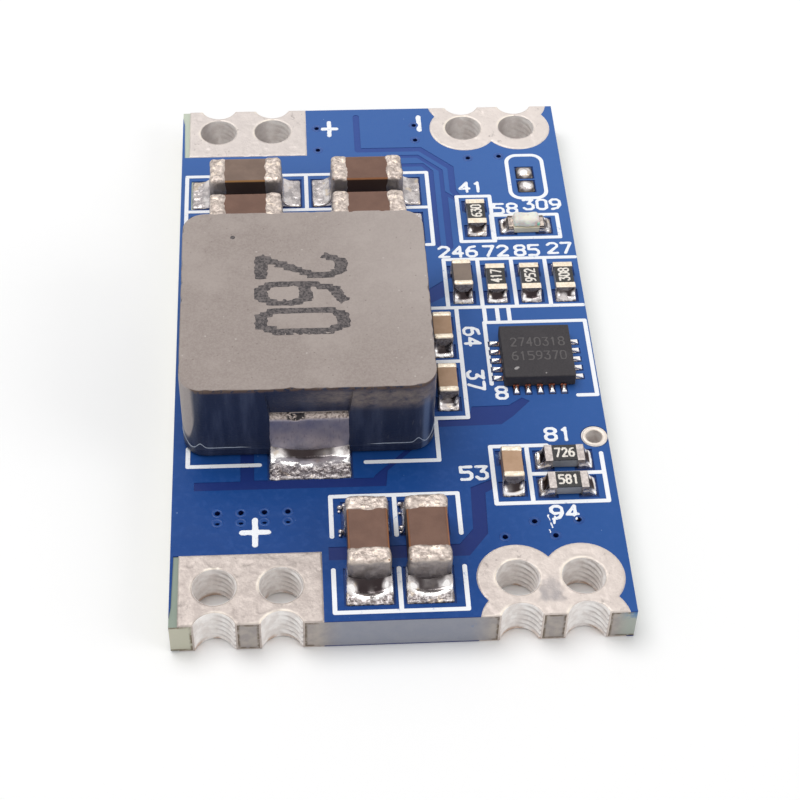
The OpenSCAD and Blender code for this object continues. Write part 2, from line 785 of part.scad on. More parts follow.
module resistor_overcoats() {
    color("#1d1d1f") on_board() for (p = resistors) place(p) intersection() {
        resistor_coat_space();
        translate([0, 0, z_seat + resistor_h / 2])
            cube([small_l, resistor_w - 2 * wrap_t, resistor_h + 1], center = true);
    }
}

// ---- indicator lamp ----

module indicator_base() {
    color("#e4e2d4") on_board() place(lamp) difference() {
        translate([0, 0, z_seat + lamp_base_h / 2]) cube([small_l, resistor_w, lamp_base_h], center = true);
        indicator_end_shapes();
    }
}

// Tinned half-round notches at the ends of the base, and the plates beside them.
module indicator_end_shapes() {
    plate_l = 0.22;
    for (s = [-1, 1]) difference() {
        translate([s * (small_l - plate_l) / 2, 0, z_seat + lamp_base_h / 2])
            cube([plate_l, resistor_w, lamp_base_h], center = true);
        translate([s * (small_l / 2 - plate_l / 2 - wrap_t / 2), 0, z_seat + lamp_base_h / 2])
            cube([plate_l - wrap_t, resistor_w - 2 * wrap_t, lamp_base_h - 2 * wrap_t], center = true);
    }
}

module indicator_ends() {
    color("#c9c2b8") on_board() place(lamp) indicator_end_shapes();
}

module indicator_lens() {
    base_l = small_l - 0.3;
    top_l = base_l - 0.08;
    lens_w = resistor_w - 0.04;
    color("#e9efe2") on_board() place(lamp) translate([0, lens_w / 2, z_seat + lamp_base_h])
        rotate([90, 0, 0]) linear_extrude(lens_w)
            polygon([[-base_l / 2, 0], [base_l / 2, 0], [top_l / 2, lens_h], [-top_l / 2, lens_h]]);
}

// ---- controller ----

module contact_shapes() {
    contact_t = 0.2;
    translate([0, 0, z_seat]) {
        at_contacts() translate([-contact_len, -contact_w / 2, 0])
            cube([contact_len, contact_w, contact_t]);
        translate([package_x - thermal_pad_w / 2, package_y - thermal_pad_w / 2, 0])
            cube([thermal_pad_w, thermal_pad_w, contact_t]);
    }
}

// The moulded package, with a dimple that marks its first contact.
module controller_package() {
    mark_inset = [0.55, 0.5];
    mark_d = 0.24;
    mark_depth = 0.02;
    color("#3b3a3d") on_board() difference() {
        translate([package_x, package_y, z_seat]) soft_box(package_w, package_w, package_h, 2 * edge_round);
        contact_shapes();
        translate([package_x - package_w / 2 + mark_inset.x, package_y - package_w / 2 + mark_inset.y,
                   z_seat + package_h - mark_depth]) cylinder(d = mark_d, h = mark_depth + eps);
    }
}

module controller_contacts() {
    color("#c06a3a") on_board() contact_shapes();
}

// ---- solder ----

// A hollow-faced wedge of solder: it lies along x from 0 to run and climbs to rise.
module fillet(run, rise, w) {
    r = (run * run + rise * rise) / (2 * rise);
    translate([0, w / 2, 0]) rotate([90, 0, 0]) linear_extrude(w) difference() {
        polygon([[0, -eps], [run, -eps], [run, 0], [0, rise]]);
        translate([run, r]) circle(r, $fn = 96);
    }
}

module chip_solder(l, w, end, toe, rise) {
    translate([0, 0, z_high]) linear_extrude(z_seat - z_high) chip_pads(l, w, end, toe, 0);
    for (a = [0, 180]) rotate(a) translate([l / 2, 0, z_seat]) fillet(toe * fillet_share, rise, w);
}

module solder_inductor() {
    color("#c8c4c0") on_board() {
        translate([0, 0, z_high]) linear_extrude(z_seat - z_high) inductor_pads(0);
        for (side = [-1, 1])
            translate([inductor_x, inductor_y + side * inductor_l / 2, z_seat])
                rotate(90 * side) difference() {
                    fillet(0.77, 0.5, strap_w);
                    rotate([90, 0, 0]) translate([0, 0, -strap_w]) linear_extrude(2 * strap_w)
                        strap_profile();
                }
    }
}

module solder_power_capacitors() {
    color("#c8c4c0") on_board() for (p = power_caps) place(p)
        chip_solder(power_cap_l, power_cap_w, power_cap_end, power_toe, power_rise);
}

module solder_small_chips() {
    color("#c8c4c0") on_board() {
        for (p = small_caps) place(p) chip_solder(small_l, small_cap_w, small_end, small_toe, small_rise);
        for (p = resistors) place(p) chip_solder(small_l, resistor_w, small_end, small_toe, small_rise);
    }
}

module solder_indicator() {
    color("#c8c4c0") on_board() place(lamp)
        chip_solder(small_l, resistor_w, small_end, small_toe, lamp_base_h * 0.8);
}

module jumper_pads() {
    color("#c8c4c0") on_board() translate([0, 0, z_high]) linear_extrude(z_seat - z_high) jumper_shapes(0);
}

module solder_controller() {
    color("#c8c4c0") on_board() {
        translate([0, 0, z_high]) linear_extrude(z_seat - z_high) controller_pads(0);
        at_contacts() translate([0, 0, z_seat]) fillet(contact_toe * fillet_share, 0.17, contact_w);
    }
}

// ---- nodes ----

board_laminate();
solder_mask_top();
solder_mask_bottom();
printed_lines();
plus_terminal_front();
minus_terminal_front();
plus_terminal_back();
minus_terminal_back();
test_hole_ring();
via_barrels();
inductor_body();
inductor_strap_front();
inductor_strap_back();
for (i = [0 : 3]) {
    power_cap_body(back_caps[i]);
    power_cap_ends(back_caps[i]);
}
for (i = [0 : 1]) {
    power_cap_body(front_caps[i]);
    power_cap_ends(front_caps[i]);
}
for (i = [0 : 3]) {
    small_cap_body(small_caps[i]);
    small_cap_ends(small_caps[i]);
}
for (i = [0 : 5]) {
    resistor_body(resistors[i]);
    resistor_ends(resistors[i]);
}
resistor_overcoats();
indicator_base();
indicator_ends();
indicator_lens();
controller_package();
controller_contacts();
jumper_pads();
solder_inductor();
solder_power_capacitors();
solder_small_chips();
solder_indicator();
solder_controller();
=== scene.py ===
"""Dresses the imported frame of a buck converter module: solder, tin, chips, print and finishes.

Every length inside is in millimetres, in the frame's own axes: +X from the plus to the minus
terminals, +Y from the front edge to the back edge, +Z up, with the underside on z = 0.
"""

import json
import math

import bpy
import numpy as np
from mathutils import Matrix, Vector


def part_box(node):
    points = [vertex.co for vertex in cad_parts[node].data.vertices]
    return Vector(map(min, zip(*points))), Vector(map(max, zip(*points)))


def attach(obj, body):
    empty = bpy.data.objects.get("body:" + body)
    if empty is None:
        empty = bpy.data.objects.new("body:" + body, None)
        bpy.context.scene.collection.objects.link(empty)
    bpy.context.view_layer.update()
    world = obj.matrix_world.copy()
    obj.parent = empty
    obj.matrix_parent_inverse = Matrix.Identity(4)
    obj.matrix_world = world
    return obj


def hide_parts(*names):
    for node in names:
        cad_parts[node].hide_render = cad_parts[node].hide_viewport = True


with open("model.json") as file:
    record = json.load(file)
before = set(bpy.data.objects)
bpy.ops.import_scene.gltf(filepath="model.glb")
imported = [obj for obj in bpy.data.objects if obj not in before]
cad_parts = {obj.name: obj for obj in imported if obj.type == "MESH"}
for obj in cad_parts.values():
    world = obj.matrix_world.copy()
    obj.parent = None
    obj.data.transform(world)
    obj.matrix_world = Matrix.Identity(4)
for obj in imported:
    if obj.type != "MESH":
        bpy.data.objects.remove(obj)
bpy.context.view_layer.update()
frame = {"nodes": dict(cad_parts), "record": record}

bl_info = {
    "name": "Buck converter module",
    "version": (1, 0, 0),
    "blender": (4, 5, 0),
    "location": "3D View > Sidebar > Module",
    "description": "Solder, tin, chips, print and finishes for a buck converter module",
    "category": "Object",
}

MM = 0.001


# ---------------------------------------------------------------- the frame's sizes


def span(node):
    """Lowest corner, highest corner, centre and size of a CAD node, in millimetres."""
    low, high = (np.array(corner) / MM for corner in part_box(node))
    return low, high, (low + high) / 2, high - low


BOARD_LOW, BOARD_HIGH, _, BOARD_SIZE = span("board_laminate")
Z_COPPER = BOARD_HIGH[2]
Z_MASK = span("solder_mask_top")[1][2]
CORE_LOW, CORE_HIGH, CORE_MID, CORE_SIZE = span("inductor_body")
POWER_CAPS = [f"back_capacitor_{i}" for i in (1, 2, 3, 4)] + [f"front_capacitor_{i}" for i in (1, 2)]
SMALL_CAPS = [f"small_capacitor_{i}" for i in (1, 2, 3, 4)]
RESISTORS = [f"resistor_{i}" for i in (1, 2, 3, 4, 5, 6)]


def from_corner(x, y):
    """A place given from the board's front left corner, in the frame's axes."""
    return np.array([x - BOARD_SIZE[0] / 2, y - BOARD_SIZE[1] / 2])


def terminal_holes():
    """Centres of the eight screw holes, from the record's two hole patterns."""
    centres = []
    for mount in frame["record"]["mounts"]:
        if mount["kind"] == "bolt_pattern":
            x, y = mount["pos_m"][0] / MM, mount["pos_m"][1] / MM
            dx, dy = mount["dims"]["spacing_x_mm"] / 2, mount["dims"]["spacing_y_mm"] / 2
            centres += [(x + sx * dx, y + sy * dy) for sx in (-1, 1) for sy in (-1, 1)]
    return centres


HOLES = terminal_holes()
HOLE_R = next(m["dims"]["hole_r_mm"] for m in frame["record"]["mounts"] if m["kind"] == "bolt_pattern")
# half the laminate's height
HALF_BOARD = 0.8
# how far the notches' centres lie outside the board's ends
NOTCH_OUT = 0.3
# how far the mould's flash stands out of the inductor's sides
FLASH = 0.015


def paint(red, green, blue):
    """A colour written as 0 to 255, as the linear colour that a shader takes."""
    parts = []
    for value in (red, green, blue):
        value /= 255
        parts.append(value / 12.92 if value <= 0.04045 else ((value + 0.055) / 1.055) ** 2.4)
    return (*parts, 1.0)


# ---------------------------------------------------------------- settings


def length(name, about, default):
    """A length property in millimetres."""
    return bpy.props.FloatProperty(name=name, description=about, default=default, min=0, precision=3)


def colour(name, about, default):
    return bpy.props.FloatVectorProperty(
        name=name, description=about, default=default, size=4, subtype="COLOR", min=0, max=1
    )


class TinSettings(bpy.types.PropertyGroup):
    notch_out: length("Notch offset", "Distance of the notch centres outside the board's ends, mm", NOTCH_OUT)
    skin: length("Tin thickness", "Height of the tin over the flat copper, mm", 0.035)
    rounding: length("Edge rounding", "Width over which the tin rounds off at its edges, mm", 0.06)
    rim: length("Rim height", "Height of the bead of tin round each hole, mm", 0.014)
    ripple: length("Thread ripple", "Depth of the ripples on the hole walls, mm", 0.075)
    tint: colour("Tin colour", "Base colour of the tinned copper", paint(196, 184, 177))


class SolderSettings(bpy.types.PropertyGroup):
    power_toe: length("Power toe", "Pad length beyond a power capacitor's end, mm", 0.87)
    small_toe: length("Small toe", "Pad length beyond a small chip's end, mm", 0.38)
    side: length("Pad side", "Width by which a pad stands out beside a power part, mm", 0.09)
    small_side: length("Small pad side", "Width by which a pad stands out beside a small part, mm", 0.04)
    power_rise: length("Power rise", "Height that solder climbs on a power capacitor, mm", 0.5)
    small_rise: length("Small rise", "Height that solder climbs on a small chip, mm", 0.34)
    strap_toe: length("Strap toe", "Pad length in front of the inductor, mm", 1.28)
    strap_rise: length("Strap rise", "Height that solder climbs on a strap, mm", 0.42)
    seat: length("Seat height", "Height of the parts' undersides over the copper, mm", 0.08)
    tint: colour("Solder colour", "Base colour of the solder", paint(212, 204, 202))


class InductorSettings(bpy.types.PropertyGroup):
    corner: length("Corner radius", "Radius of the body's upright corners, mm", 0.95)
    bevel: length("Bevel", "Bevel of the body's upper and lower edges, mm", 0.07)
    drop: length("Top drop", "Distance of the dressed top below the solid's top, mm", 0.015)
    strap_width: length("Strap width", "Width of the terminal straps, mm", 3.15)
    strap_thickness: length("Strap thickness", "Thickness of the terminal straps, mm", 0.2)
    strap_exit: length("Strap exit", "Height over the body's underside where the straps leave it, mm", 2.25)
    pocket: length("Pocket depth", "Depth of the pocket above each strap, mm", 0.25)
    pocket_top: length("Pocket width", "Width of the pocket at the body's upper edge, mm", 3.6)
    seam: length("Seam height", "Height of the mould seam over the body's underside, mm", 0.38)
    face: colour("Top colour", "Colour of the ground top face", paint(163, 152, 146))
    flank: colour("Side colour", "Colour of the glossy sides", paint(36, 44, 68))


class PrintSettings(bpy.types.PropertyGroup):
    height: length("Digit height", "Height of the printed digits, mm", 0.78)
    stroke: length("Stroke", "Width of the printed strokes, mm", 0.14)
    thickness: length("Print thickness", "Thickness of the white print, mm", 0.015)
    white: colour("Print colour", "Colour of the white print", paint(246, 248, 252))


class StageSettings(bpy.types.PropertyGroup):
    key: bpy.props.FloatProperty(
        name="Key lamp", description="Power of the large lamp", default=0.3, unit="POWER"
    )
    fill: bpy.props.FloatProperty(
        name="Fill lamp", description="Power of the side lamp", default=0.1, unit="POWER"
    )
    sky: bpy.props.FloatProperty(name="Sky", description="Strength of the even light", default=0.55)


# ---------------------------------------------------------------- noise and outlines


def lattice(i, j, k):
    """A repeatable value from 0 to 1 for each point of a lattice."""
    value = np.sin(i * 127.1 + j * 311.7 + k * 74.7) * 43758.5453
    return value - np.floor(value)


def uneven(points, size, seed=0.0):
    """Smooth repeatable noise from -1 to 1 at rows of points, with lumps of the given size."""
    q = np.asarray(points, float) / size + seed
    cell = np.floor(q)
    f = q - cell
    f = f * f * (3 - 2 * f)
    total = np.zeros(len(q))
    for corner in range(8):
        d = [(corner >> a) & 1 for a in range(3)]
        weight = np.ones(len(q))
        for a in range(3):
            weight *= f[:, a] if d[a] else 1 - f[:, a]
        total += weight * lattice(*(cell[:, a] + d[a] for a in range(3)))
    return 2 * total - 1


def uneven_map(x, y, size, seed=0.0):
    """The same noise over a flat grid of places."""
    flat = np.stack([x.ravel(), y.ravel(), np.zeros(x.size)], 1)
    return uneven(flat, size, seed).reshape(x.shape)


def smooth(low, high, value):
    """0 at low, 1 at high, smooth between; low may be the larger one."""
    t = np.clip((value - low) / (high - low), 0, 1)
    return t * t * (3 - 2 * t)


def dome(depth, radius):
    """Height from 0 to 1 of a quarter-round edge at a depth inside an outline."""
    return np.sqrt(np.clip(1 - (1 - np.clip(depth / radius, 0, 1)) ** 2, 0, 1))


def block(centre, half, corner=0.0):
    """Signed distance to a rectangle with round corners."""

    def distance(x, y):
        dx = np.abs(x - centre[0]) - half[0] + corner
        dy = np.abs(y - centre[1]) - half[1] + corner
        outside = np.hypot(np.maximum(dx, 0), np.maximum(dy, 0))
        return outside + np.minimum(np.maximum(dx, dy), 0) - corner

    return distance


def disc(centre, radius):
    """Signed distance to a disc."""
    return lambda x, y: np.hypot(x - centre[0], y - centre[1]) - radius


def union(*shapes):
    return lambda x, y: np.minimum.reduce([shape(x, y) for shape in shapes])


def without(shape, *holes):
    return lambda x, y: np.maximum.reduce([shape(x, y)] + [-hole(x, y) for hole in holes])


def strokes(lines, brush):
    """Signed distance to pen strokes drawn with an oval brush of half widths (across x, across y)."""
    bx, by = brush

    def distance(x, y):
        best = np.full(np.shape(x), 1e9)
        for line in lines:
            for (ax, ay), (cx, cy) in zip(line, line[1:]):
                dx, dy = (cx - ax) / bx, (cy - ay) / by
                px, py = (x - ax) / bx, (y - ay) / by
                along = np.clip((px * dx + py * dy) / max(dx * dx + dy * dy, 1e-9), 0, 1)
                best = np.minimum(best, np.hypot(px - along * dx, py - along * dy))
        return (best - 1) * min(bx, by)

    return distance


# ---------------------------------------------------------------- meshes


def add_piece(name, points, faces, material, slot, crease=40, replaces=(), stage=False):
    """Makes one mesh object from millimetre points and rides it on the board."""
    mesh = bpy.data.meshes.new(name)
    mesh.from_pydata([tuple(p) for p in np.asarray(points, float) * MM], [], faces)
    mesh.validate()
    mesh.polygons.foreach_set("use_smooth", [True] * len(mesh.polygons))
    mesh.set_sharp_from_angle(angle=math.radians(crease))
    mesh.materials.append(material)
    piece = bpy.data.objects.new(name, mesh)
    bpy.context.scene.collection.objects.link(piece)
    if stage:
        return piece
    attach(piece, "root")
    if replaces:
        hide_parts(*replaces)
    return piece


def grid_faces(rows, columns, closed):
    """Quads between neighbouring rows of points; a closed grid joins the end of each row to its start."""
    for r in range(rows - 1):
        for c in range(columns if closed else columns - 1):
            here, there = r * columns + c, r * columns + (c + 1) % columns
            yield here, there, there + columns, here + columns


def wall_faces(rows, columns, closed):
    """Faces of a wall whose points are two grids, one skin after the other, with its borders closed."""
    skin = rows * columns
    top = skin - columns
    faces = []
    for a, b, c, d in grid_faces(rows, columns, closed):
        faces += [(a, d, c, b), (skin + b, skin + c, skin + d, skin + a)]
    for c in range(columns if closed else columns - 1):
        d = (c + 1) % columns
        faces += [(c, d, skin + d, skin + c), (top + d, top + c, skin + top + c, skin + top + d)]
    for a in range(0, 0 if closed else top, columns):
        b, c, d = a + columns, a + columns - 1, a + 2 * columns - 1
        faces += [(a, skin + a, skin + b, b), (d, skin + d, skin + c, c)]
    return faces


class Clay:
    """Collects points and faces of several closed forms for one piece."""

    def __init__(self):
        self.points = []
        self.faces = []
        # painted light and shade of each point, from -1 to 1
        self.tones = []
        self.grits = []

    def add(self, points, faces, tones=None, grits=None):
        start = len(self.points)
        self.points += [tuple(p) for p in points]
        self.faces += [tuple(start + i for i in face) for face in faces]
        self.tones += [0.0] * len(points) if tones is None else list(tones)
        self.grits += [0.0] * len(points) if grits is None else list(grits)

    def relief(self, outline, low, high, step, top, base, shade=None):
        """A closed low form inside an outline: its upper face is top(x, y, depth), its foot is flat.

        shade(x, y) gives the painted light, from -1 for painted shade to 1 for a painted highlight, and the
        grit, 0 to 1.
        """
        nx = max(2, int(math.ceil((high[0] - low[0]) / step)))
        ny = max(2, int(math.ceil((high[1] - low[1]) / step)))
        xs = np.linspace(low[0], high[0], nx + 1)
        ys = np.linspace(low[1], high[1], ny + 1)
        x, y = np.meshgrid(xs, ys, indexing="ij")
        d = outline(x, y)
        for border in (d[0], d[-1], d[:, 0], d[:, -1]):
            np.maximum(border, 1e-4, out=border)
        inside = d < 0
        flat, depth, known = [], [], {}

        def corner_point(i, j):
            key = (i, j)
            if key not in known:
                known[key] = len(flat)
                flat.append((x[i, j], y[i, j]))
                depth.append(-d[i, j])
            return known[key]

        def cut_point(a, b):
            key = (min(a, b), max(a, b))
            if key not in known:
                da, db = d[key[0]], d[key[1]]
                t = min(max(da / (da - db), 0.02), 0.98)
                known[key] = len(flat)
                flat.append((
                    x[key[0]] + (x[key[1]] - x[key[0]]) * t,
                    y[key[0]] + (y[key[1]] - y[key[0]]) * t,
                ))
                depth.append(0.0)
            return known[key]

        faces, rim = [], []
        count = inside[:-1, :-1].astype(int) + inside[1:, :-1] + inside[1:, 1:] + inside[:-1, 1:]
        for i, j in zip(*np.nonzero(count)):
            cell = [(i, j), (i + 1, j), (i + 1, j + 1), (i, j + 1)]
            face, exits = [], []
            for k in range(4):
                a, b = cell[k], cell[(k + 1) % 4]
                if inside[a]:
                    face.append(corner_point(*a))
                if inside[a] != inside[b]:
                    point = cut_point(a, b)
                    face.append(point)
                    exits.append((point, inside[a]))
            faces.append(tuple(face))
            for k, (point, leaving) in enumerate(exits):
                if leaving:
                    rim.append((point, exits[(k + 1) % len(exits)][0]))
        flat = np.array(flat)
        depth = np.array(depth)
        total = len(flat)
        upper = np.column_stack([flat, top(flat[:, 0], flat[:, 1], depth)])
        lower = np.column_stack([flat, np.full(total, base)])
        faces += [tuple(total + i for i in reversed(face)) for face in faces]
        faces += [(b, a, total + a, total + b) for a, b in rim]
        laid = [] if shade is None else [np.tile(values, 2) for values in shade(flat[:, 0], flat[:, 1])]
        self.add(np.concatenate([upper, lower]), faces, *laid)

    def lump(self, centre, size, radius, step, push=None):
        """A closed block with round edges; push(points, normals) returns a shift along the normals."""
        half = np.array(size) / 2
        lines = []
        for a in range(3):
            flat = max(1, int(round((size[a] - 2 * radius) / step)))
            turn = np.tan(np.radians(45 / 4 * np.arange(4)))
            near = half[a] - radius
            side = near + radius * turn
            middle = np.linspace(-near, near, flat + 1)
            lines.append(np.concatenate([[-half[a]], -side[:0:-1], middle, side[1:], [half[a]]]))
        counts = [len(line) - 1 for line in lines]
        known, points, faces = {}, [], []

        def index(i, j, k):
            key = (i, j, k)
            if key not in known:
                known[key] = len(points)
                points.append([lines[0][i], lines[1][j], lines[2][k]])
            return known[key]

        for axis in range(3):
            u, v = (axis + 1) % 3, (axis + 2) % 3
            for end in (0, counts[axis]):
                for i in range(counts[u]):
                    for j in range(counts[v]):
                        quad = []
                        for di, dj in ((0, 0), (1, 0), (1, 1), (0, 1)):
                            place = [0, 0, 0]
                            place[axis], place[u], place[v] = end, i + di, j + dj
                            quad.append(index(*place))
                        faces.append(tuple(quad if end else reversed(quad)))
        points = np.array(points)
        inner = np.clip(points, -(half - radius), half - radius)
        away = points - inner
        normals = away / np.maximum(np.linalg.norm(away, axis=1), 1e-9)[:, None]
        points = inner + radius * normals
        if push is not None:
            points = points + push(points + centre, normals)
        self.add(points + centre, faces)

    def piece(self, name, material, slot, **more):
        piece = add_piece(name, self.points, self.faces, material, slot, **more)
        for label, values in (("tone", self.tones), ("grit", self.grits)):
            if any(values):
                layer = piece.data.attributes.new(label, "FLOAT", "POINT")
                layer.data.foreach_set("value", np.array(values, np.float32))
        return piece


# ---------------------------------------------------------------- shader nodes


class Finish:
    """One procedural material; values that never vary are set on the shader's own sockets."""

    def __init__(self, name, **sockets):
        self.material = bpy.data.materials.new(name)
        self.material.use_nodes = True
        self.tree = self.material.node_tree
        self.shader = self.tree.nodes["Principled BSDF"]
        self.place = self.scaled(self.new("ShaderNodeTexCoord").outputs["Object"], 1 / MM)
        self.relief = None
        self.set(**sockets)

    def new(self, kind, **fields):
        node = self.tree.nodes.new(kind)
        for field, value in fields.items():
            setattr(node, field, value)
        return node

    def feed(self, socket, value):
        if isinstance(value, bpy.types.NodeSocket):
            self.tree.links.new(value, socket)
        else:
            socket.default_value = value

    def set(self, **sockets):
        names = {
            "base": "Base Color", "rough": "Roughness", "metal": "Metallic", "shine": "Specular IOR Level",
            "depth": "Subsurface Weight", "depth_scale": "Subsurface Scale",
            "glow": "Emission Color", "glow_strength": "Emission Strength",
        }
        for key, value in sockets.items():
            self.feed(self.shader.inputs[names[key]], value)
        return self

    def scaled(self, vector, factor):
        node = self.new("ShaderNodeVectorMath", operation="SCALE")
        self.feed(node.inputs[0], vector)
        node.inputs["Scale"].default_value = factor
        return node.outputs[0]

    def stretched(self, x, y, z):
        """The place with its axes scaled, for a grain that runs along one of them."""
        node = self.new("ShaderNodeVectorMath", operation="MULTIPLY")
        self.feed(node.inputs[0], self.place)
        node.inputs[1].default_value = (x, y, z)
        return node.outputs[0]

    def along(self, axis):
        node = self.new("ShaderNodeSeparateXYZ")
        self.feed(node.inputs[0], self.place)
        return node.outputs[axis]

    def facing(self, axis):
        node = self.new("ShaderNodeSeparateXYZ")
        self.feed(node.inputs[0], self.new("ShaderNodeNewGeometry").outputs["Normal"])
        return node.outputs[axis]

    def layer(self, label):
        """A value laid down with the mesh: the painted light and shade, or the grit."""
        return self.new("ShaderNodeAttribute", attribute_name=label).outputs["Fac"]

    def noise(self, size, detail=3.0, harsh=0.5, twist=0.0, at=None):
        node = self.new("ShaderNodeTexNoise")
        self.feed(node.inputs["Vector"], at or self.place)
        node.inputs["Scale"].default_value = 1 / size
        node.inputs["Detail"].default_value = detail
        node.inputs["Roughness"].default_value = harsh
        node.inputs["Distortion"].default_value = twist
        return node.outputs["Fac"]

    def cells(self, size):
        node = self.new("ShaderNodeTexVoronoi")
        self.feed(node.inputs["Vector"], self.place)
        node.inputs["Scale"].default_value = 1 / size
        return node.outputs["Distance"]

    def calc(self, operation, a, b=0.0, clamp=False):
        node = self.new("ShaderNodeMath", operation=operation, use_clamp=clamp)
        self.feed(node.inputs[0], a)
        self.feed(node.inputs[1], b)
        return node.outputs[0]

    def between(self, value, low, high):
        """0 below low, 1 above high, smooth between."""
        node = self.new("ShaderNodeMapRange", interpolation_type="SMOOTHSTEP")
        self.feed(node.inputs["Value"], value)
        node.inputs["From Min"].default_value = low
        node.inputs["From Max"].default_value = high
        return node.outputs["Result"]

    def fading(self, value, low, high):
        """1 below low, 0 above high, smooth between."""
        return self.calc("SUBTRACT", 1.0, self.between(value, low, high))

    def times(self, value, *factors):
        for factor in factors:
            value = self.calc("MULTIPLY", value, factor)
        return value

    def away(self, value, place=None):
        """Distance of a value from a place, or from zero."""
        if place is not None:
            value = self.calc("SUBTRACT", value, place)
        return self.calc("ABSOLUTE", value)

    def ranged(self, value, low, high):
        """Maps 0..1 to low..high."""
        node = self.new("ShaderNodeMapRange")
        self.feed(node.inputs["Value"], value)
        node.inputs["To Min"].default_value = low
        node.inputs["To Max"].default_value = high
        return node.outputs["Result"]

    def blend(self, amount, a, b):
        node = self.new("ShaderNodeMix", data_type="RGBA")
        self.feed(node.inputs[0], amount)
        self.feed(node.inputs[6], a)
        self.feed(node.inputs[7], b)
        return node.outputs[2]

    def over(self, base, colour, amount, share=None):
        """Lays a colour over the base by an amount, times a fixed share."""
        return self.blend(amount if share is None else self.times(amount, share), base, colour)

    def bump(self, height, depth, strength=1.0):
        """Adds a bump whose full height is depth millimetres."""
        node = self.new("ShaderNodeBump")
        node.inputs["Strength"].default_value = strength
        node.inputs["Distance"].default_value = depth * MM
        self.feed(node.inputs["Height"], height)
        if self.relief is not None:
            self.feed(node.inputs["Normal"], self.relief)
        self.relief = node.outputs["Normal"]
        self.feed(self.shader.inputs["Normal"], self.relief)
        return self


FINISHES = {}


def finish(name):
    """The named material, made on first use."""
    if name not in FINISHES:
        FINISHES[name] = make_finish(name).material
    return FINISHES[name]


def laminate_finish():
    """Sawn laminate: pale and greenish at the corners, grey between, with dark brown lines along the cut
    faces' upper and lower edges and beside the notches.
    """
    f = Finish("Cut glass-fibre laminate", shine=0.25)
    grain = f.noise(0.07, 3, 0.6)
    cloud = f.noise(0.5, 3, 0.6)
    across = f.along("X")
    corner = f.fading(across, BOARD_LOW[0] + 0.9, BOARD_LOW[0] + 1.5)
    base = f.blend(f.between(cloud, 0.35, 0.65), paint(178, 169, 162), paint(160, 153, 150))
    middle = f.times(f.between(across, -3.4, -2.2), f.fading(across, 2.4, 3.6))
    base = f.over(base, paint(140, 146, 162), middle, 0.8)
    base = f.over(base, paint(196, 194, 176), corner)
    right_end = BOARD_HIGH[0]
    base = f.over(base, paint(168, 174, 166), f.between(across, right_end - 0.9, right_end - 0.2))
    # dark brown lines near the cut faces' upper and lower edges and beside the notches, broken up by noise
    rim = f.between(f.away(f.along("Z"), HALF_BOARD), 0.6, 0.72)
    half = math.sqrt((HOLE_R + 0.06) ** 2 - NOTCH_OUT**2)
    for x, _ in HOLES[::2]:
        for border in (x - half, x + half):
            gap = f.away(across, border)
            rim = f.calc("MAXIMUM", rim, f.fading(gap, 0.03, 0.13))
    beside_holes = f.between(f.away(across), 3.0, 3.6)
    worn = f.between(f.noise(0.22, 3, 0.6), 0.35, 0.55)
    upright = f.fading(f.away(f.facing("Z")), 0.3, 0.6)
    rim = f.times(rim, beside_holes, f.ranged(worn, 0.2, 0.85))
    base = f.over(base, paint(96, 80, 58), f.times(rim, upright))
    # painted reflection: the pale strip on the left lighter towards the back
    strip = f.blend(f.between(f.along("Y"), -8.0, 8.0), paint(146, 158, 146), paint(196, 204, 188))
    flat = f.blend(f.between(across, BOARD_LOW[0] + 0.5, BOARD_LOW[0] + 0.7), strip, paint(34, 62, 122))
    base = f.blend(upright, flat, base)
    stain = f.times(f.between(f.noise(0.6, 3, 0.6), 0.6, 0.7), f.between(across, 2.0, 3.0))
    base = f.over(base, paint(96, 130, 176), stain, 0.6)
    chipped = f.times(f.between(across, right_end - 0.7, right_end), f.between(f.along("Z"), 0.9, 1.5))
    chipped = f.times(chipped, f.between(f.noise(0.3, 3, 0.6), 0.4, 0.52))
    chipped = f.times(chipped, f.between(f.away(f.facing("Y")), 0.4, 0.6))
    base = f.over(base, paint(58, 120, 176), chipped, 0.8)
    f.set(base=base, rough=f.ranged(grain, 0.5, 0.8))
    return f.bump(cloud, 0.02).bump(grain, 0.014)


def mask_finish():
    f = Finish("Blue solder mask", shine=0.16)
    channel = f.fading(f.along("Z"), Z_MASK - 0.018, Z_MASK - 0.004)
    cloud = f.noise(2.6, 3, 0.55)
    weave = f.noise(0.3, 2, 0.6)
    speck = f.fading(f.cells(0.5), 0.03, 0.07)
    speck = f.times(speck, f.between(f.noise(1.7, 2), 0.56, 0.64))
    # painted reflection: the mask lighter towards the back and to the right, also in its channels
    length = f.between(f.along("Y"), BOARD_LOW[1] + 1, BOARD_HIGH[1] - 2)
    base = f.blend(length, paint(4, 60, 129), paint(66, 104, 168))
    aside = f.between(f.along("X"), 1.0, BOARD_HIGH[0])
    base = f.over(base, paint(72, 116, 184), aside, 0.35)
    base = f.over(base, paint(34, 84, 156), f.ranged(cloud, 0.0, 0.25))
    base = f.over(base, paint(60, 96, 166), f.between(weave, 0.45, 0.75), 0.18)
    dark = f.blend(length, paint(24, 38, 104), paint(52, 70, 142))
    base = f.over(base, dark, f.times(channel, f.ranged(length, 0.85, 0.7)))
    base = f.over(base, paint(150, 176, 214), speck, 0.7)
    f.set(base=base, rough=f.ranged(f.noise(0.5, 3, 0.6), 0.28, 0.46))
    return f.bump(cloud, 0.05).bump(weave, 0.008)


def print_finish():
    f = Finish("White print", shine=0.2)
    worn = f.noise(0.25, 4, 0.65)
    white = tuple(bpy.context.scene.module_print.white)
    base = f.blend(f.between(worn, 0.26, 0.4), paint(186, 200, 228), white)
    f.set(base=base, rough=f.ranged(worn, 0.5, 0.7))
    return f.bump(worn, 0.01)


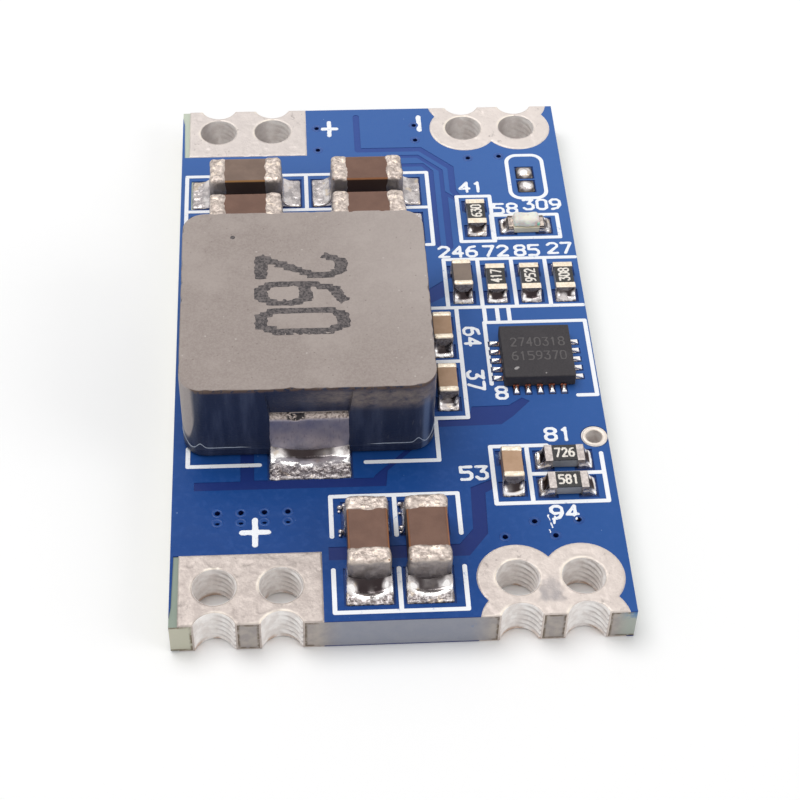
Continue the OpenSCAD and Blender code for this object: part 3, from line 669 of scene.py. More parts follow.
def tin_finish():
    f = Finish("Tinned copper", metal=0.4)
    tint = tuple(bpy.context.scene.module_tin.tint)
    broad = f.noise(1.0, 4, 0.62, 0.3)
    mottle = f.noise(0.3, 4, 0.7)
    fine = f.noise(0.07, 2, 0.6)
    smudge = f.times(f.between(f.noise(0.42, 4, 0.7, 0.6), 0.57, 0.68), f.between(broad, 0.42, 0.6))
    base = f.blend(f.between(mottle, 0.35, 0.65), tint, paint(178, 166, 160))
    base = f.over(base, paint(208, 197, 188), f.between(fine, 0.5, 0.75), 0.4)
    # painted reflection: the tin lighter towards the back and to the right
    back = f.between(f.along("Y"), -9.0, 9.0)
    right = f.between(f.along("X"), 0.0, 6.0)
    base = f.over(base, paint(226, 218, 214), back, 0.5)
    base = f.over(base, paint(236, 224, 216), right, 0.4)
    base = f.over(base, paint(126, 116, 112), smudge, 0.6)
    base = f.over(base, paint(134, 130, 134), f.layer("grit"), 0.7)
    # painted highlights from the painted light layer
    base = f.over(base, paint(250, 240, 226), f.layer("tone"), 0.85)
    f.set(base=base, rough=f.ranged(mottle, 0.38, 0.6))
    return f.bump(broad, 0.05).bump(mottle, 0.02).bump(fine, 0.006)


def wall_finish():
    """Tin inside the holes, painted light: whiter and less metallic than the plates as if lit from below,
    with painted shade from the mesh, rippled, and browned at the very foot.
    """
    f = Finish("Tinned hole wall", metal=0.1)
    mottle = f.noise(0.35, 3, 0.6)
    fine = f.noise(0.08, 2, 0.6)
    base = f.blend(f.between(mottle, 0.35, 0.65), paint(252, 248, 245), paint(232, 225, 221))
    # painted shade in the ripples' troughs and on the left of the calm walls
    base = f.over(base, paint(140, 130, 128), f.layer("tone"), 0.5)
    foot = f.fading(f.along("Z"), 0.05, 0.3)
    foot = f.times(foot, f.between(f.noise(0.8, 3, 0.6), 0.45, 0.6))
    base = f.over(base, paint(186, 146, 112), foot, 0.75)
    return f.set(base=base, rough=f.ranged(fine, 0.28, 0.5)).bump(mottle, 0.03).bump(fine, 0.008)


def copper_finish():
    f = Finish("Bare copper", metal=0.7)
    spots = f.noise(0.08, 3, 0.6)
    base = f.blend(spots, paint(176, 84, 52), paint(226, 138, 100))
    rise = f.calc("ADD", f.along("Z"), f.ranged(spots, -0.05, 0.05))
    upper = f.between(rise, Z_COPPER + 0.17, Z_COPPER + 0.21)
    base = f.over(base, paint(56, 50, 52), upper)
    return f.set(base=base, rough=f.ranged(spots, 0.3, 0.55)).bump(spots, 0.01)


def via_collar_finish():
    f = Finish("Mask collar", shine=0.25)
    cloud = f.noise(0.3, 3, 0.6)
    # painted reflection: the collars lighter towards the back
    back = f.between(f.along("Y"), BOARD_LOW[1] + 4, BOARD_HIGH[1] - 4)
    base = f.blend(back, f.blend(cloud, paint(20, 58, 126), paint(44, 88, 156)), paint(58, 92, 158))
    return f.set(base=base, rough=f.ranged(cloud, 0.25, 0.4))


def core_finish():
    f = Finish("Moulded inductor core")
    settings = bpy.context.scene.module_inductor
    top = f.between(f.facing("Z"), 0.55, 0.85)
    z, x, y = f.along("Z"), f.along("X"), f.along("Y")
    high = CORE_HIGH[2]
    grit = f.noise(0.09, 3, 0.7)
    cloud = f.noise(2.2, 4, 0.65)
    spots = f.fading(f.cells(0.4), 0.05, 0.11)
    face = f.blend(f.between(grit, 0.3, 0.7), paint(150, 138, 133), tuple(settings.face))
    face = f.over(face, paint(176, 165, 159), f.between(cloud, 0.4, 0.68), 0.5)
    # painted light: the top lighter towards the right and the back
    painted_light_back_right = f.between(x, CORE_MID[0] - 2, CORE_HIGH[0])
    painted_light_back_right = f.times(painted_light_back_right, f.between(y, CORE_LOW[1], CORE_MID[1] + 2))
    face = f.over(face, paint(188, 178, 173), painted_light_back_right, 0.45)
    face = f.over(face, paint(112, 100, 96), spots, 0.5)
    pale = f.fading(f.cells(0.75), 0.03, 0.07)
    face = f.over(face, paint(204, 196, 190), pale, 0.6)
    streak = f.noise(0.7, 4, 0.65, at=f.stretched(1.0, 1.0, 0.14))
    scuff = f.noise(0.3, 3, 0.6, at=f.stretched(2.0, 2.0, 0.4))
    flank = f.blend(f.between(streak, 0.42, 0.74), tuple(settings.flank), paint(62, 70, 94))
    flank = f.over(flank, paint(92, 92, 100), f.between(scuff, 0.64, 0.72), 0.4)
    warm = f.times(f.between(z, high - 1.5, high - 0.8), f.fading(z, high - 0.45, high))
    warm = f.times(warm, f.between(x, CORE_MID[0] - 1.4, CORE_MID[0] + 1.6))
    warm = f.times(warm, f.between(f.noise(0.3, 4, 0.7, at=f.stretched(0.7, 0.7, 1.2)), 0.15, 0.75))
    flank = f.over(flank, paint(140, 128, 120), warm, 0.9)
    # painted highlight: a pale blue streak down the sides near the right corner
    painted_sheen = f.fading(f.away(x, CORE_HIGH[0] - 0.42), 0.05, 0.2)
    painted_sheen = f.times(painted_sheen, f.fading(z, high - 1.3, high - 0.6))
    flank = f.over(flank, paint(104, 122, 156), painted_sheen, 0.55)
    edge = f.between(z, high - 0.26, high - 0.12)
    chipped = f.times(edge, f.between(f.noise(0.2, 4, 0.65), 0.38, 0.5))
    flank = f.over(flank, paint(96, 78, 68), chipped, 0.9)
    # painted reflection: a pale, rough patch on the rounded front left corner
    normal = f.new("ShaderNodeNewGeometry").outputs["Normal"]
    sides = f.new("ShaderNodeSeparateXYZ")
    f.feed(sides.inputs[0], normal)
    painted_highlight = f.between(f.times(sides.outputs[0], -1.0), 0.36, 0.56)
    painted_highlight = f.times(painted_highlight, f.between(f.times(sides.outputs[1], -1.0), 0.02, 0.2))
    painted_highlight = f.times(painted_highlight, f.fading(x, CORE_MID[0] - 3.6, CORE_MID[0] - 3.0))
    bend = f.calc("ADD", sides.outputs[0], 0.8)
    bottom = f.calc("ADD", CORE_LOW[2] + 0.85, f.times(bend, bend, 9.0))
    painted_highlight = f.times(painted_highlight, f.between(f.calc("SUBTRACT", z, bottom), -0.1, 0.18))
    flank = f.over(flank, f.blend(grit, paint(150, 142, 140), paint(186, 178, 175)), painted_highlight, 0.95)
    # the sides darker than the top: partly their glossy pressed finish, partly painted shade
    base = f.blend(top, flank, face)
    dull = f.calc("MAXIMUM", top, painted_highlight)
    rough = f.ranged(dull, 0.3, 0.8)
    f.set(base=base, rough=f.calc("ADD", rough, f.ranged(streak, -0.06, 0.1), clamp=True), shine=0.3)
    return f.bump(grit, 0.014).bump(streak, 0.015, 0.5)


def strap_finish():
    f = Finish("Tinned strap", metal=0.6)
    brushed = f.noise(0.22, 3, 0.6, at=f.stretched(3.0, 3.0, 0.7))
    broad = f.noise(0.8, 3, 0.6)
    fine = f.noise(0.09, 3, 0.65)
    base = f.blend(f.between(broad, 0.35, 0.65), paint(146, 143, 158), paint(168, 160, 168))
    base = f.over(base, paint(92, 90, 102), f.between(brushed, 0.55, 0.7), 0.4)
    # painted highlight: the bent lip lighter where it faces up
    lip = f.between(f.facing("Z"), 0.25, 0.6)
    base = f.over(base, f.blend(f.between(fine, 0.35, 0.6), paint(120, 106, 100), paint(196, 182, 174)), lip)
    # painted shade in the nick that is dented into the lip
    nick = f.fading(f.away(f.along("X"), CORE_MID[0] - 0.52), 0.3, 0.42)
    nick = f.times(nick, f.between(f.facing("Z"), 0.3, 0.55))
    nick = f.times(nick, f.between(f.noise(0.16, 2, 0.5), 0.42, 0.5))
    base = f.over(base, paint(44, 40, 42), nick)
    f.set(base=base, rough=f.ranged(brushed, 0.26, 0.46))
    return f.bump(broad, 0.04).bump(brushed, 0.008).bump(f.times(lip, fine), 0.05)


def solder_finish():
    """Solder: painted shade in its hollows and painted highlights on its crests, from the painted light
    layer, gritty towards the borders of a pad.
    """
    f = Finish("Solder", metal=0.85)
    tint = tuple(bpy.context.scene.module_solder.tint)
    tone, grit = f.layer("tone"), f.layer("grit")
    grain = f.noise(0.14, 3, 0.6, 0.5)
    broad = f.noise(0.4, 3, 0.6)
    pits = f.times(grit, f.fading(grain, 0.42, 0.56))
    base = f.blend(f.between(broad, 0.4, 0.6), paint(168, 162, 162), tint)
    base = f.over(base, paint(214, 196, 172), f.between(f.noise(0.5, 2), 0.6, 0.68), 0.6)
    base = f.over(base, paint(104, 93, 92), pits, 0.8)
    # painted highlights and painted shade from the painted light layer
    base = f.over(base, paint(252, 249, 247), f.between(tone, 0.05, 0.8))
    base = f.over(base, paint(54, 45, 46), f.between(f.times(tone, -1.0), 0.05, 0.9))
    f.set(base=base, rough=f.calc("ADD", f.ranged(grain, 0.12, 0.24), f.times(grit, 0.14)))
    return f.bump(broad, 0.03).bump(f.times(grain, grit), 0.05)


def ends_finish():
    """Tinned ends of a power capacitor: granular on top, smoother down the faces, with painted shade that
    darkens the faces towards the bottom.
    """
    f = Finish("Tinned chip ends", metal=0.55)
    grain = f.noise(0.16, 4, 0.6)
    broad = f.noise(0.4, 3, 0.6)
    top = f.between(f.facing("Z"), 0.25, 0.65)
    base = f.blend(f.between(grain, 0.3, 0.66), paint(154, 140, 132), paint(214, 200, 190))
    base = f.over(base, paint(250, 232, 214), f.between(f.noise(0.26, 2, 0.5, 0.4), 0.56, 0.68), 0.8)
    low = CORE_LOW[2]
    # painted shade: the faces darker towards the bottom
    face = f.blend(f.between(f.along("Z"), low + 0.35, low + 1.45), paint(86, 79, 80), paint(166, 156, 150))
    face = f.over(face, paint(176, 168, 164), f.between(broad, 0.5, 0.68), 0.35)
    base = f.blend(top, face, base)
    f.set(base=base, rough=f.ranged(grain, 0.3, 0.5))
    return f.bump(broad, 0.07).bump(f.times(grain, f.ranged(top, 0.4, 1.0)), 0.03)


def small_ends_finish(name, light, dark):
    f = Finish(name, metal=0.6)
    grain = f.noise(0.12, 3, 0.6)
    top = f.between(f.facing("Z"), 0.3, 0.7)
    base = f.blend(f.between(grain, 0.3, 0.7), light, dark)
    # painted shade: the upright faces greyer than the top
    face = f.blend(f.between(grain, 0.35, 0.65), paint(120, 110, 106), paint(164, 154, 148))
    base = f.blend(top, face, base)
    return f.set(base=base, rough=f.ranged(grain, 0.28, 0.45)).bump(grain, 0.01)


def speckled_finish(name, size, light, dark, rough, harsh=0.6, spread=None, relief=None, **sockets):
    """A plain finish in fine specks of two close tones."""
    f = Finish(name, **sockets)
    grain = f.noise(size, 3, harsh)
    amount = grain if spread is None else f.between(grain, *spread)
    f.set(base=f.blend(amount, light, dark), rough=f.ranged(grain, *rough))
    return f if relief is None else f.bump(grain, relief)


def ceramic_finish(name, light, dark, flank=None, edge=None):
    """Fired ceramic; its sides may carry painted shade, darker than its top, with a painted highlight as a
    warm line along the edges.
    """
    f = Finish(name, shine=0.4)
    grain = f.noise(0.05, 2, 0.6)
    broad = f.noise(0.8, 3, 0.6)
    base = f.blend(f.between(broad, 0.3, 0.7), light, dark)
    base = f.over(base, dark, f.between(grain, 0.58, 0.7), 0.4)
    # painted shade on the sides and a painted highlight along the edges
    if flank:
        up = f.facing("Z")
        base = f.blend(f.between(up, 0.25, 0.5), flank, base)
        line = f.times(f.between(up, 0.3, 0.5), f.fading(up, 0.72, 0.92))
        base = f.over(base, edge, line, 0.8)
    return f.set(base=base, rough=f.ranged(grain, 0.42, 0.6)).bump(grain, 0.005)


def lens_finish():
    f = Finish("Milky lamp lens", shine=0.4, depth=0.25, depth_scale=0.0006)
    cloud = f.noise(0.35, 3, 0.6)
    base = f.blend(f.between(cloud, 0.35, 0.65), paint(240, 238, 226), paint(226, 222, 214))
    base = f.over(base, paint(232, 206, 200), f.between(f.noise(0.5, 2), 0.62, 0.7))
    return f.set(base=base, rough=f.ranged(cloud, 0.25, 0.4)).bump(cloud, 0.02)


def package_finish():
    f = Finish("Moulded package", shine=0.35)
    grain = f.noise(0.05, 3, 0.7)
    broad = f.noise(1.0, 3, 0.5)
    base = f.blend(f.between(grain, 0.3, 0.7), paint(42, 39, 42), paint(60, 56, 59))
    base = f.over(base, paint(76, 71, 73), f.between(broad, 0.5, 0.7), 0.3)
    return f.set(base=base, rough=f.ranged(grain, 0.55, 0.75)).bump(grain, 0.008)


def floor_finish():
    """A pale floor that takes the shadow near the part and runs into the white backdrop further out."""
    f = Finish("Pale floor", shine=0.2, glow=(1, 1, 1, 1))
    f.place = f.new("ShaderNodeTexCoord").outputs["Object"]
    cloud = f.noise(0.2, 2, 0.5)
    away = f.new("ShaderNodeVectorMath", operation="LENGTH")
    f.feed(away.inputs[0], f.place)
    rays = f.new("ShaderNodeLightPath").outputs
    seen = f.calc("MAXIMUM", rays["Is Glossy Ray"], rays["Is Transmission Ray"])
    seen = f.calc("MAXIMUM", rays["Is Camera Ray"], seen)
    far = f.times(f.between(away.outputs["Value"], 0.04, 0.09), seen)
    base = f.blend(far, f.blend(cloud, (0.97, 0.97, 0.97, 1), (0.99, 0.99, 0.99, 1)), (0, 0, 0, 1))
    return f.set(base=base, rough=f.ranged(cloud, 0.8, 0.9), glow_strength=far)


# name, two tones of the body, and for some the sides' painted shade and the edges' painted highlight
CERAMICS = {
    "brown_ceramic": ("Brown ceramic", (114, 82, 67), (102, 71, 57), (66, 48, 40), (156, 100, 58)),
    "dun_ceramic": ("Dun ceramic", (124, 102, 89), (110, 89, 77), (66, 50, 42), (166, 116, 56)),
    "grey_ceramic": ("Grey-brown ceramic", (132, 116, 104), (116, 102, 92), (70, 60, 54), (150, 126, 100)),
    "tan_ceramic": ("Tan ceramic", (184, 150, 122), (170, 136, 106), (120, 88, 66), (196, 160, 120)),
    # painted shade: the off-white alumina painted grey
    "white_ceramic": ("White ceramic", (150, 151, 154), (130, 132, 137)),
    "lamp_base": ("Lamp base", (224, 218, 196), (206, 196, 170)),
}
SMALL_ENDS = {
    "bright_ends": ("Bright chip ends", (252, 240, 220), (226, 208, 184)),
    "grey_ends": ("Grey chip ends", (216, 206, 200), (176, 166, 162)),
}
# name, size of the specks, two tones, least and most roughness, and what else the finish needs
SPECKLED = {
    # the small holes' barrels in the mask's blue, painted darker as painted shade in their bores
    "via_wall": ("Mask-filled via", 0.08, (26, 34, 92), (48, 66, 140), (0.3, 0.5), {"shine": 0.3}),
    "core_seam": ("Mould seam", 0.12, (120, 134, 158), (196, 204, 214), (0.35, 0.6), {"shine": 0.4}),
    "black_coat": (
        "Black overcoat", 0.2, (18, 18, 20), (40, 38, 38), (0.2, 0.36), {"relief": 0.01, "shine": 0.6}
    ),
    "lamp_mark": ("Green lamp mark", 0.1, (120, 200, 170), (160, 220, 196), (0.4, 0.6), {}),
    "lamp_die": ("Lamp die", 0.08, (150, 84, 80), (200, 150, 140), (0.3, 0.5), {"shine": 0.5}),
    "package_mark": (
        "Faint package digits", 0.05, (72, 69, 70), (108, 104, 104), (0.6, 0.8), {"harsh": 0.7, "shine": 0.3}
    ),
    "package_dot": (
        "Pale dot on the package", 0.05, (128, 124, 124), (190, 186, 184), (0.5, 0.7),
        {"harsh": 0.7, "shine": 0.3},
    ),
    "coat_mark": (
        "White digits on the overcoat", 0.06, (206, 198, 190), (246, 240, 230), (0.5, 0.7),
        {"spread": (0.3, 0.6), "shine": 0.3},
    ),
    "core_mark": (
        "Grey ink on the core", 0.1, (62, 58, 60), (112, 105, 104), (0.6, 0.8),
        {"harsh": 0.7, "spread": (0.4, 0.6), "shine": 0.3},
    ),
}
MAKERS = {
    "laminate": laminate_finish,
    "solder_mask": mask_finish,
    "white_print": print_finish,
    "tinned_plating": tin_finish,
    "hole_wall": wall_finish,
    "via_collar": via_collar_finish,
    "bare_copper": copper_finish,
    "moulded_core": core_finish,
    "strap_metal": strap_finish,
    "solder": solder_finish,
    "tinned_ends": ends_finish,
    "lamp_lens": lens_finish,
    "package_moulding": package_finish,
    "floor": floor_finish,
}


def make_finish(name):
    """The material of that name, from its own function or from a row of a table."""
    if name in CERAMICS:
        title, *tones = CERAMICS[name]
        return ceramic_finish(title, *(paint(*tone) for tone in tones))
    if name in SMALL_ENDS:
        title, light, dark = SMALL_ENDS[name]
        return small_ends_finish(title, paint(*light), paint(*dark))
    if name in SPECKLED:
        title, size, light, dark, rough, more = SPECKLED[name]
        return speckled_finish(title, size, paint(*light), paint(*dark), rough, **more)
    return MAKERS[name]()


# ---------------------------------------------------------------- plain digits

DIGITS = {
    "0": [[(0, 1), (0, 5), (1, 6), (3, 6), (4, 5), (4, 1), (3, 0), (1, 0), (0, 1)]],
    "1": [[(1, 5), (2, 6), (2, 0)]],
    "2": [[(0, 5), (1, 6), (3, 6), (4, 5), (4, 4), (0, 0), (4, 0)]],
    "3": [[(0, 6), (4, 6), (2, 3.6), (3, 3.6), (4, 2.6), (4, 1), (3, 0), (1, 0), (0, 1)]],
    "4": [[(3, 0), (3, 6), (0, 2), (4, 2)]],
    "5": [[(4, 6), (0, 6), (0, 3.5), (3, 3.5), (4, 2.5), (4, 1), (3, 0), (0, 0)]],
    "6": [[(3.5, 6), (1.2, 5.4), (0, 3.4), (0, 1), (1, 0), (3, 0), (4, 1), (4, 2.4), (3, 3.4), (0.2, 3.2)]],
    "7": [[(0, 6), (4, 6), (1.4, 0)]],
    "8": [
        [(1, 3.2), (0, 4.2), (0, 5.1), (1, 6), (3, 6), (4, 5.1), (4, 4.2), (3, 3.2), (1, 3.2)],
        [(1, 3.2), (0, 2.2), (0, 0.9), (1, 0), (3, 0), (4, 0.9), (4, 2.2), (3, 3.2)],
    ],
    "9": [[(3.8, 2.8), (1, 2.6), (0, 3.6), (0, 5), (1, 6), (3, 6), (4, 5), (4, 2.6), (2.8, 0.6), (0.5, 0)]],
}


def digit_lines(text, centre, height, width, gap, turn):
    """Pen lines of a number about a centre; turn is in degrees, anticlockwise."""
    advance = width + gap
    start = -(len(text) * advance - gap) / 2
    cos, sin = math.cos(math.radians(turn)), math.sin(math.radians(turn))
    lines = []
    for place, sign in enumerate(text):
        for line in DIGITS[sign]:
            row = []
            for px, py in line:
                x = start + place * advance + px / 4 * width
                y = (py / 6 - 0.5) * height
                row.append((centre[0] + x * cos - y * sin, centre[1] + x * sin + y * cos))
            lines.append(row)
    return lines


def write(clay, lines, brush, z, thickness, step, worn=0.0, seed=0.0, stair=0.0):
    """Adds raised ink along pen lines; stair is the size of the steps that a dotted print leaves."""
    flat = np.array([point for line in lines for point in line])
    margin = max(brush) + 2 * step
    low, high = flat.min(0) - margin, flat.max(0) + margin
    outline = strokes(lines, brush)

    def ragged(x, y):
        stepped = y
        if stair:
            line = np.round(y / stair) * stair
            stepped = line + 0.15 * (y - line)
        return outline(x, stepped) + worn * uneven_map(x, y, 0.12, seed)

    clay.relief(
        ragged, low, high, step,
        lambda x, y, depth: z + thickness * dome(depth, thickness * 1.5), z - 0.004,
    )


# ---------------------------------------------------------------- operators


class ModuleOperator:
    bl_options = {"REGISTER", "UNDO"}


# solids whose look differs from that of their slot
NODE_FINISH = {
    "via_barrels": "via_wall", "back_capacitor_1_body": "dun_ceramic",
    "test_hole_ring": "hole_wall", **{f"{name}_ends": "bright_ends" for name in RESISTORS[:4]},
    **{f"{name}_ends": "grey_ends" for name in RESISTORS[4:]},
}


class MODULE_OT_finishes(ModuleOperator, bpy.types.Operator):
    """Give every solid of the frame its procedural material"""

    bl_idname = "module.finishes"
    bl_label = "Finishes of the solids"

    def execute(self, context):
        slots = {part["node"]: part["material_slot"] for part in frame["record"]["subparts"]}
        for name, node in frame["nodes"].items():
            material = finish(NODE_FINISH.get(name, slots[name]))
            node.data.materials.clear()
            node.data.materials.append(material)
        return {"FINISHED"}


class MODULE_OT_tin_plates(ModuleOperator, bpy.types.Operator):
    """Lay uneven tin with rounded edges and rims over the terminal plates"""

    bl_idname = "module.tin_plates"
    bl_label = "Tin on the terminals"

    def execute(self, context):
        settings = context.scene.module_tin
        for side, end in (("plus", "front"), ("minus", "front"), ("plus", "back"), ("minus", "back")):
            low, high, mid, size = span(f"{side}_terminal_{end}")
            sign = -1 if end == "front" else 1
            edge = BOARD_LOW[1] if end == "front" else BOARD_HIGH[1]
            holes = [h for h in HOLES if low[0] < h[0] < high[0] and (h[1] < 0) == (sign < 0)]
            notches = [(x, edge + sign * settings.notch_out) for x, _ in holes]
            openings = [disc(centre, HOLE_R) for centre in holes + notches]
            if side == "plus":
                solid = block(mid[:2], size[:2] / 2 - 0.005, 0.05)
            else:
                radius = holes[0][0] - low[0] if holes[0][0] < holes[1][0] else holes[1][0] - low[0]
                bridge = block(
                    ((holes[0][0] + holes[1][0]) / 2, (holes[0][1] + notches[0][1]) / 2),
                    (abs(holes[0][0] - holes[1][0]) / 2, abs(holes[0][1] - notches[0][1]) / 2),
                )
                rings = union(bridge, *[disc(c, radius - 0.01) for c in holes + notches])
                keep = block(mid[:2], size[:2] / 2 - 0.005, 0.03)
                solid = lambda x, y, a=rings, b=keep: np.maximum(a(x, y), b(x, y))
            shape = without(solid, *openings)
            gap = union(*openings)
            centres = np.array(holes + notches)

            def burr(x, y, gap=gap, centres=centres):
                """The raised burr round a hole, strongest on its back left; it also places the painted
                highlight.
                """
                away = np.array([np.hypot(x - a, y - b) for a, b in centres])
                near = centres[away.argmin(0)]
                lean = ((y - near[..., 1]) * 0.6 - (x - near[..., 0]) * 0.8) / np.maximum(away.min(0), 1e-6)
                return np.exp(-((gap(x, y) / 0.08) ** 2)) * (0.2 + 0.8 * smooth(-0.1, 0.7, lean))

            def top(x, y, depth, burr=burr):
                body = settings.skin * dome(depth, settings.rounding)
                rim = settings.rim * burr(x, y)
                lumps = 0.007 * uneven_map(x, y, 0.6, 3) + 0.004 * uneven_map(x, y, 0.2, 5)
                dents = 0.02 * smooth(0.45, 0.8, uneven_map(x, y, 0.45, 17))
                return Z_MASK + body + (rim + lumps - dents) * dome(depth, 0.1)

            # painted highlights: bright on the back left of each burr and along the plate's borders; the grit
            # is a grey scuff
            def shade(x, y, burr=burr, solid=solid):
                lit = 1.25 * burr(x, y) * smooth(-0.9, 0.2, uneven_map(x, y, 0.6, 23))
                border = np.exp(-((solid(x, y) / 0.04) ** 2)) * smooth(-0.3, 0.7, uneven_map(x, y, 0.8, 29))
                scuffed = (side, end) == ("minus", "front")
                return np.maximum(lit, 0.6 * border), scuff(x, y) if scuffed else 0 * x

            def scuff(x, y, holes=holes):
                """A grey scuff between the holes, pointed at the back and wide at the front."""
                down = holes[0][1] + 0.4 - y
                ragged = 0.16 * uneven_map(x, y, 0.3, 37) + 0.07 * uneven_map(x, y, 0.12, 39)
                aside = np.abs(x - (holes[0][0] + holes[1][0]) / 2 + 0.05) + ragged
                wedge = smooth(0.14, -0.1, aside - 0.38 * down) * smooth(1.6, 1.42, down + 0.5 * ragged)
                return wedge * smooth(0.1, 0.9, down) * (0.72 + 0.28 * uneven_map(x, y, 0.2, 43))

            clay = Clay()
            clay.relief(shape, low[:2] - 0.1, high[:2] + 0.1, 0.045, top, Z_MASK - 0.002, shade)
            clay.piece(f"tin_skin_{side}_{end}", finish("tinned_plating"), "tinned_plating", crease=50)
        low, high, mid, size = span("test_hole_ring")
        ring = without(disc(mid[:2], size[0] / 2 - 0.02), disc(mid[:2] - 0.01, 0.34))

        def ragged(x, y):
            return ring(x, y) + 0.02 * uneven_map(x, y, 0.3, 41)

        # painted light: the test ring's tin is painted lighter all over
        clay = Clay()
        clay.relief(
            ragged, low[:2] - 0.1, high[:2] + 0.1, 0.03,
            lambda x, y, depth: Z_MASK + settings.skin * 1.4 * dome(depth, 0.1), Z_MASK - 0.002,
            lambda x, y: (np.full_like(x, 0.55), np.zeros_like(x)),
        )
        clay.piece("tin_skin_test_ring", finish("tinned_plating"), "tinned_plating")
        return {"FINISHED"}


class MODULE_OT_hole_walls(ModuleOperator, bpy.types.Operator):
    """Line the screw holes and edge notches with rippled tin"""

    bl_idname = "module.hole_walls"
    bl_label = "Rippled hole walls"

    def execute(self, context):
        settings = context.scene.module_tin
        edge_y = {-1: BOARD_LOW[1], 1: BOARD_HIGH[1]}
        rows, turns = 44, 96
        heights = np.linspace(0.004, Z_MASK + settings.skin * 0.6, rows)
        for name, is_notch in (("tin_walls_holes", False), ("tin_walls_notches", True)):
            clay = Clay()
            for number, (x, y) in enumerate(HOLES):
                sign = -1 if y < 0 else 1
                centre = (x, edge_y[sign] + sign * settings.notch_out) if is_notch else (x, y)
                if is_notch:
                    reach = math.asin(settings.notch_out / HOLE_R) + 0.02
                    first = 0 if sign < 0 else math.pi
                    angles = np.linspace(first + reach, first + math.pi - reach, turns // 2)
                else:
                    angles = np.linspace(0, 2 * math.pi, turns, endpoint=False)
                share = 0.35 if sign > 0 and not is_notch else 1.0
                self.sleeve(clay, centre, angles, heights, settings.ripple, number, not is_notch, share)
            clay.piece(name, finish("hole_wall"), "tinned_plating", crease=60)
        return {"FINISHED"}

    @staticmethod
    def sleeve(clay, centre, angles, heights, ripple, seed, closed, share):
        """One wall: share is the strength of its ripples and of the painted shade in their troughs, and a
        calm wall gets painted shade on its left instead.
        """
        a, z = np.meshgrid(angles, heights)
        pitch, starts = 0.29, 3
        phase = z / pitch - starts * a / (2 * math.pi) + 0.3 * np.sin(a + seed)
        wave = 0.5 + 0.5 * np.sin(2 * math.pi * phase)
        fade = smooth(0.0, 0.12, z) * smooth(heights[-1], heights[-1] - 0.2, z)
        strong = 0.12 + 0.88 * smooth(0.1, 0.8, np.cos(a - 0.3))
        around = np.stack([a * 2, z * 3, np.full_like(a, seed)], -1).reshape(-1, 3)
        rough = uneven(around, 0.6).reshape(a.shape)
        inner = HOLE_R - 0.006 - fade * (ripple * share * strong * wave + 0.012 * (rough + 1))
        outer = np.full_like(inner, HOLE_R + 0.004)
        # painted shade: darker in the ripples' troughs, and on the left side of a calm wall
        dull = share * fade * strong * smooth(0.5, 0.0, wave)
        dull = np.maximum(dull, 2 * (1 - share) * smooth(0.1, -0.9, np.cos(a)))
        points = []
        for radius in (inner, outer):
            y = np.clip(centre[1] + radius * np.sin(a), BOARD_LOW[1] + 0.003, BOARD_HIGH[1] - 0.003)
            points += list(zip((centre[0] + radius * np.cos(a)).ravel(), y.ravel(), z.ravel()))
        clay.add(points, wall_faces(len(heights), len(angles), closed), np.tile(dull.ravel(), 2))


def chip(node):
    """Centre, length, width, height and axis (0 for x, 1 for y) of a chip from its tinned ends."""
    _, _, mid, size = span(node + "_ends")
    axis = 0 if size[0] > size[1] else 1
    return mid, size[axis], size[1 - axis], size[2], axis


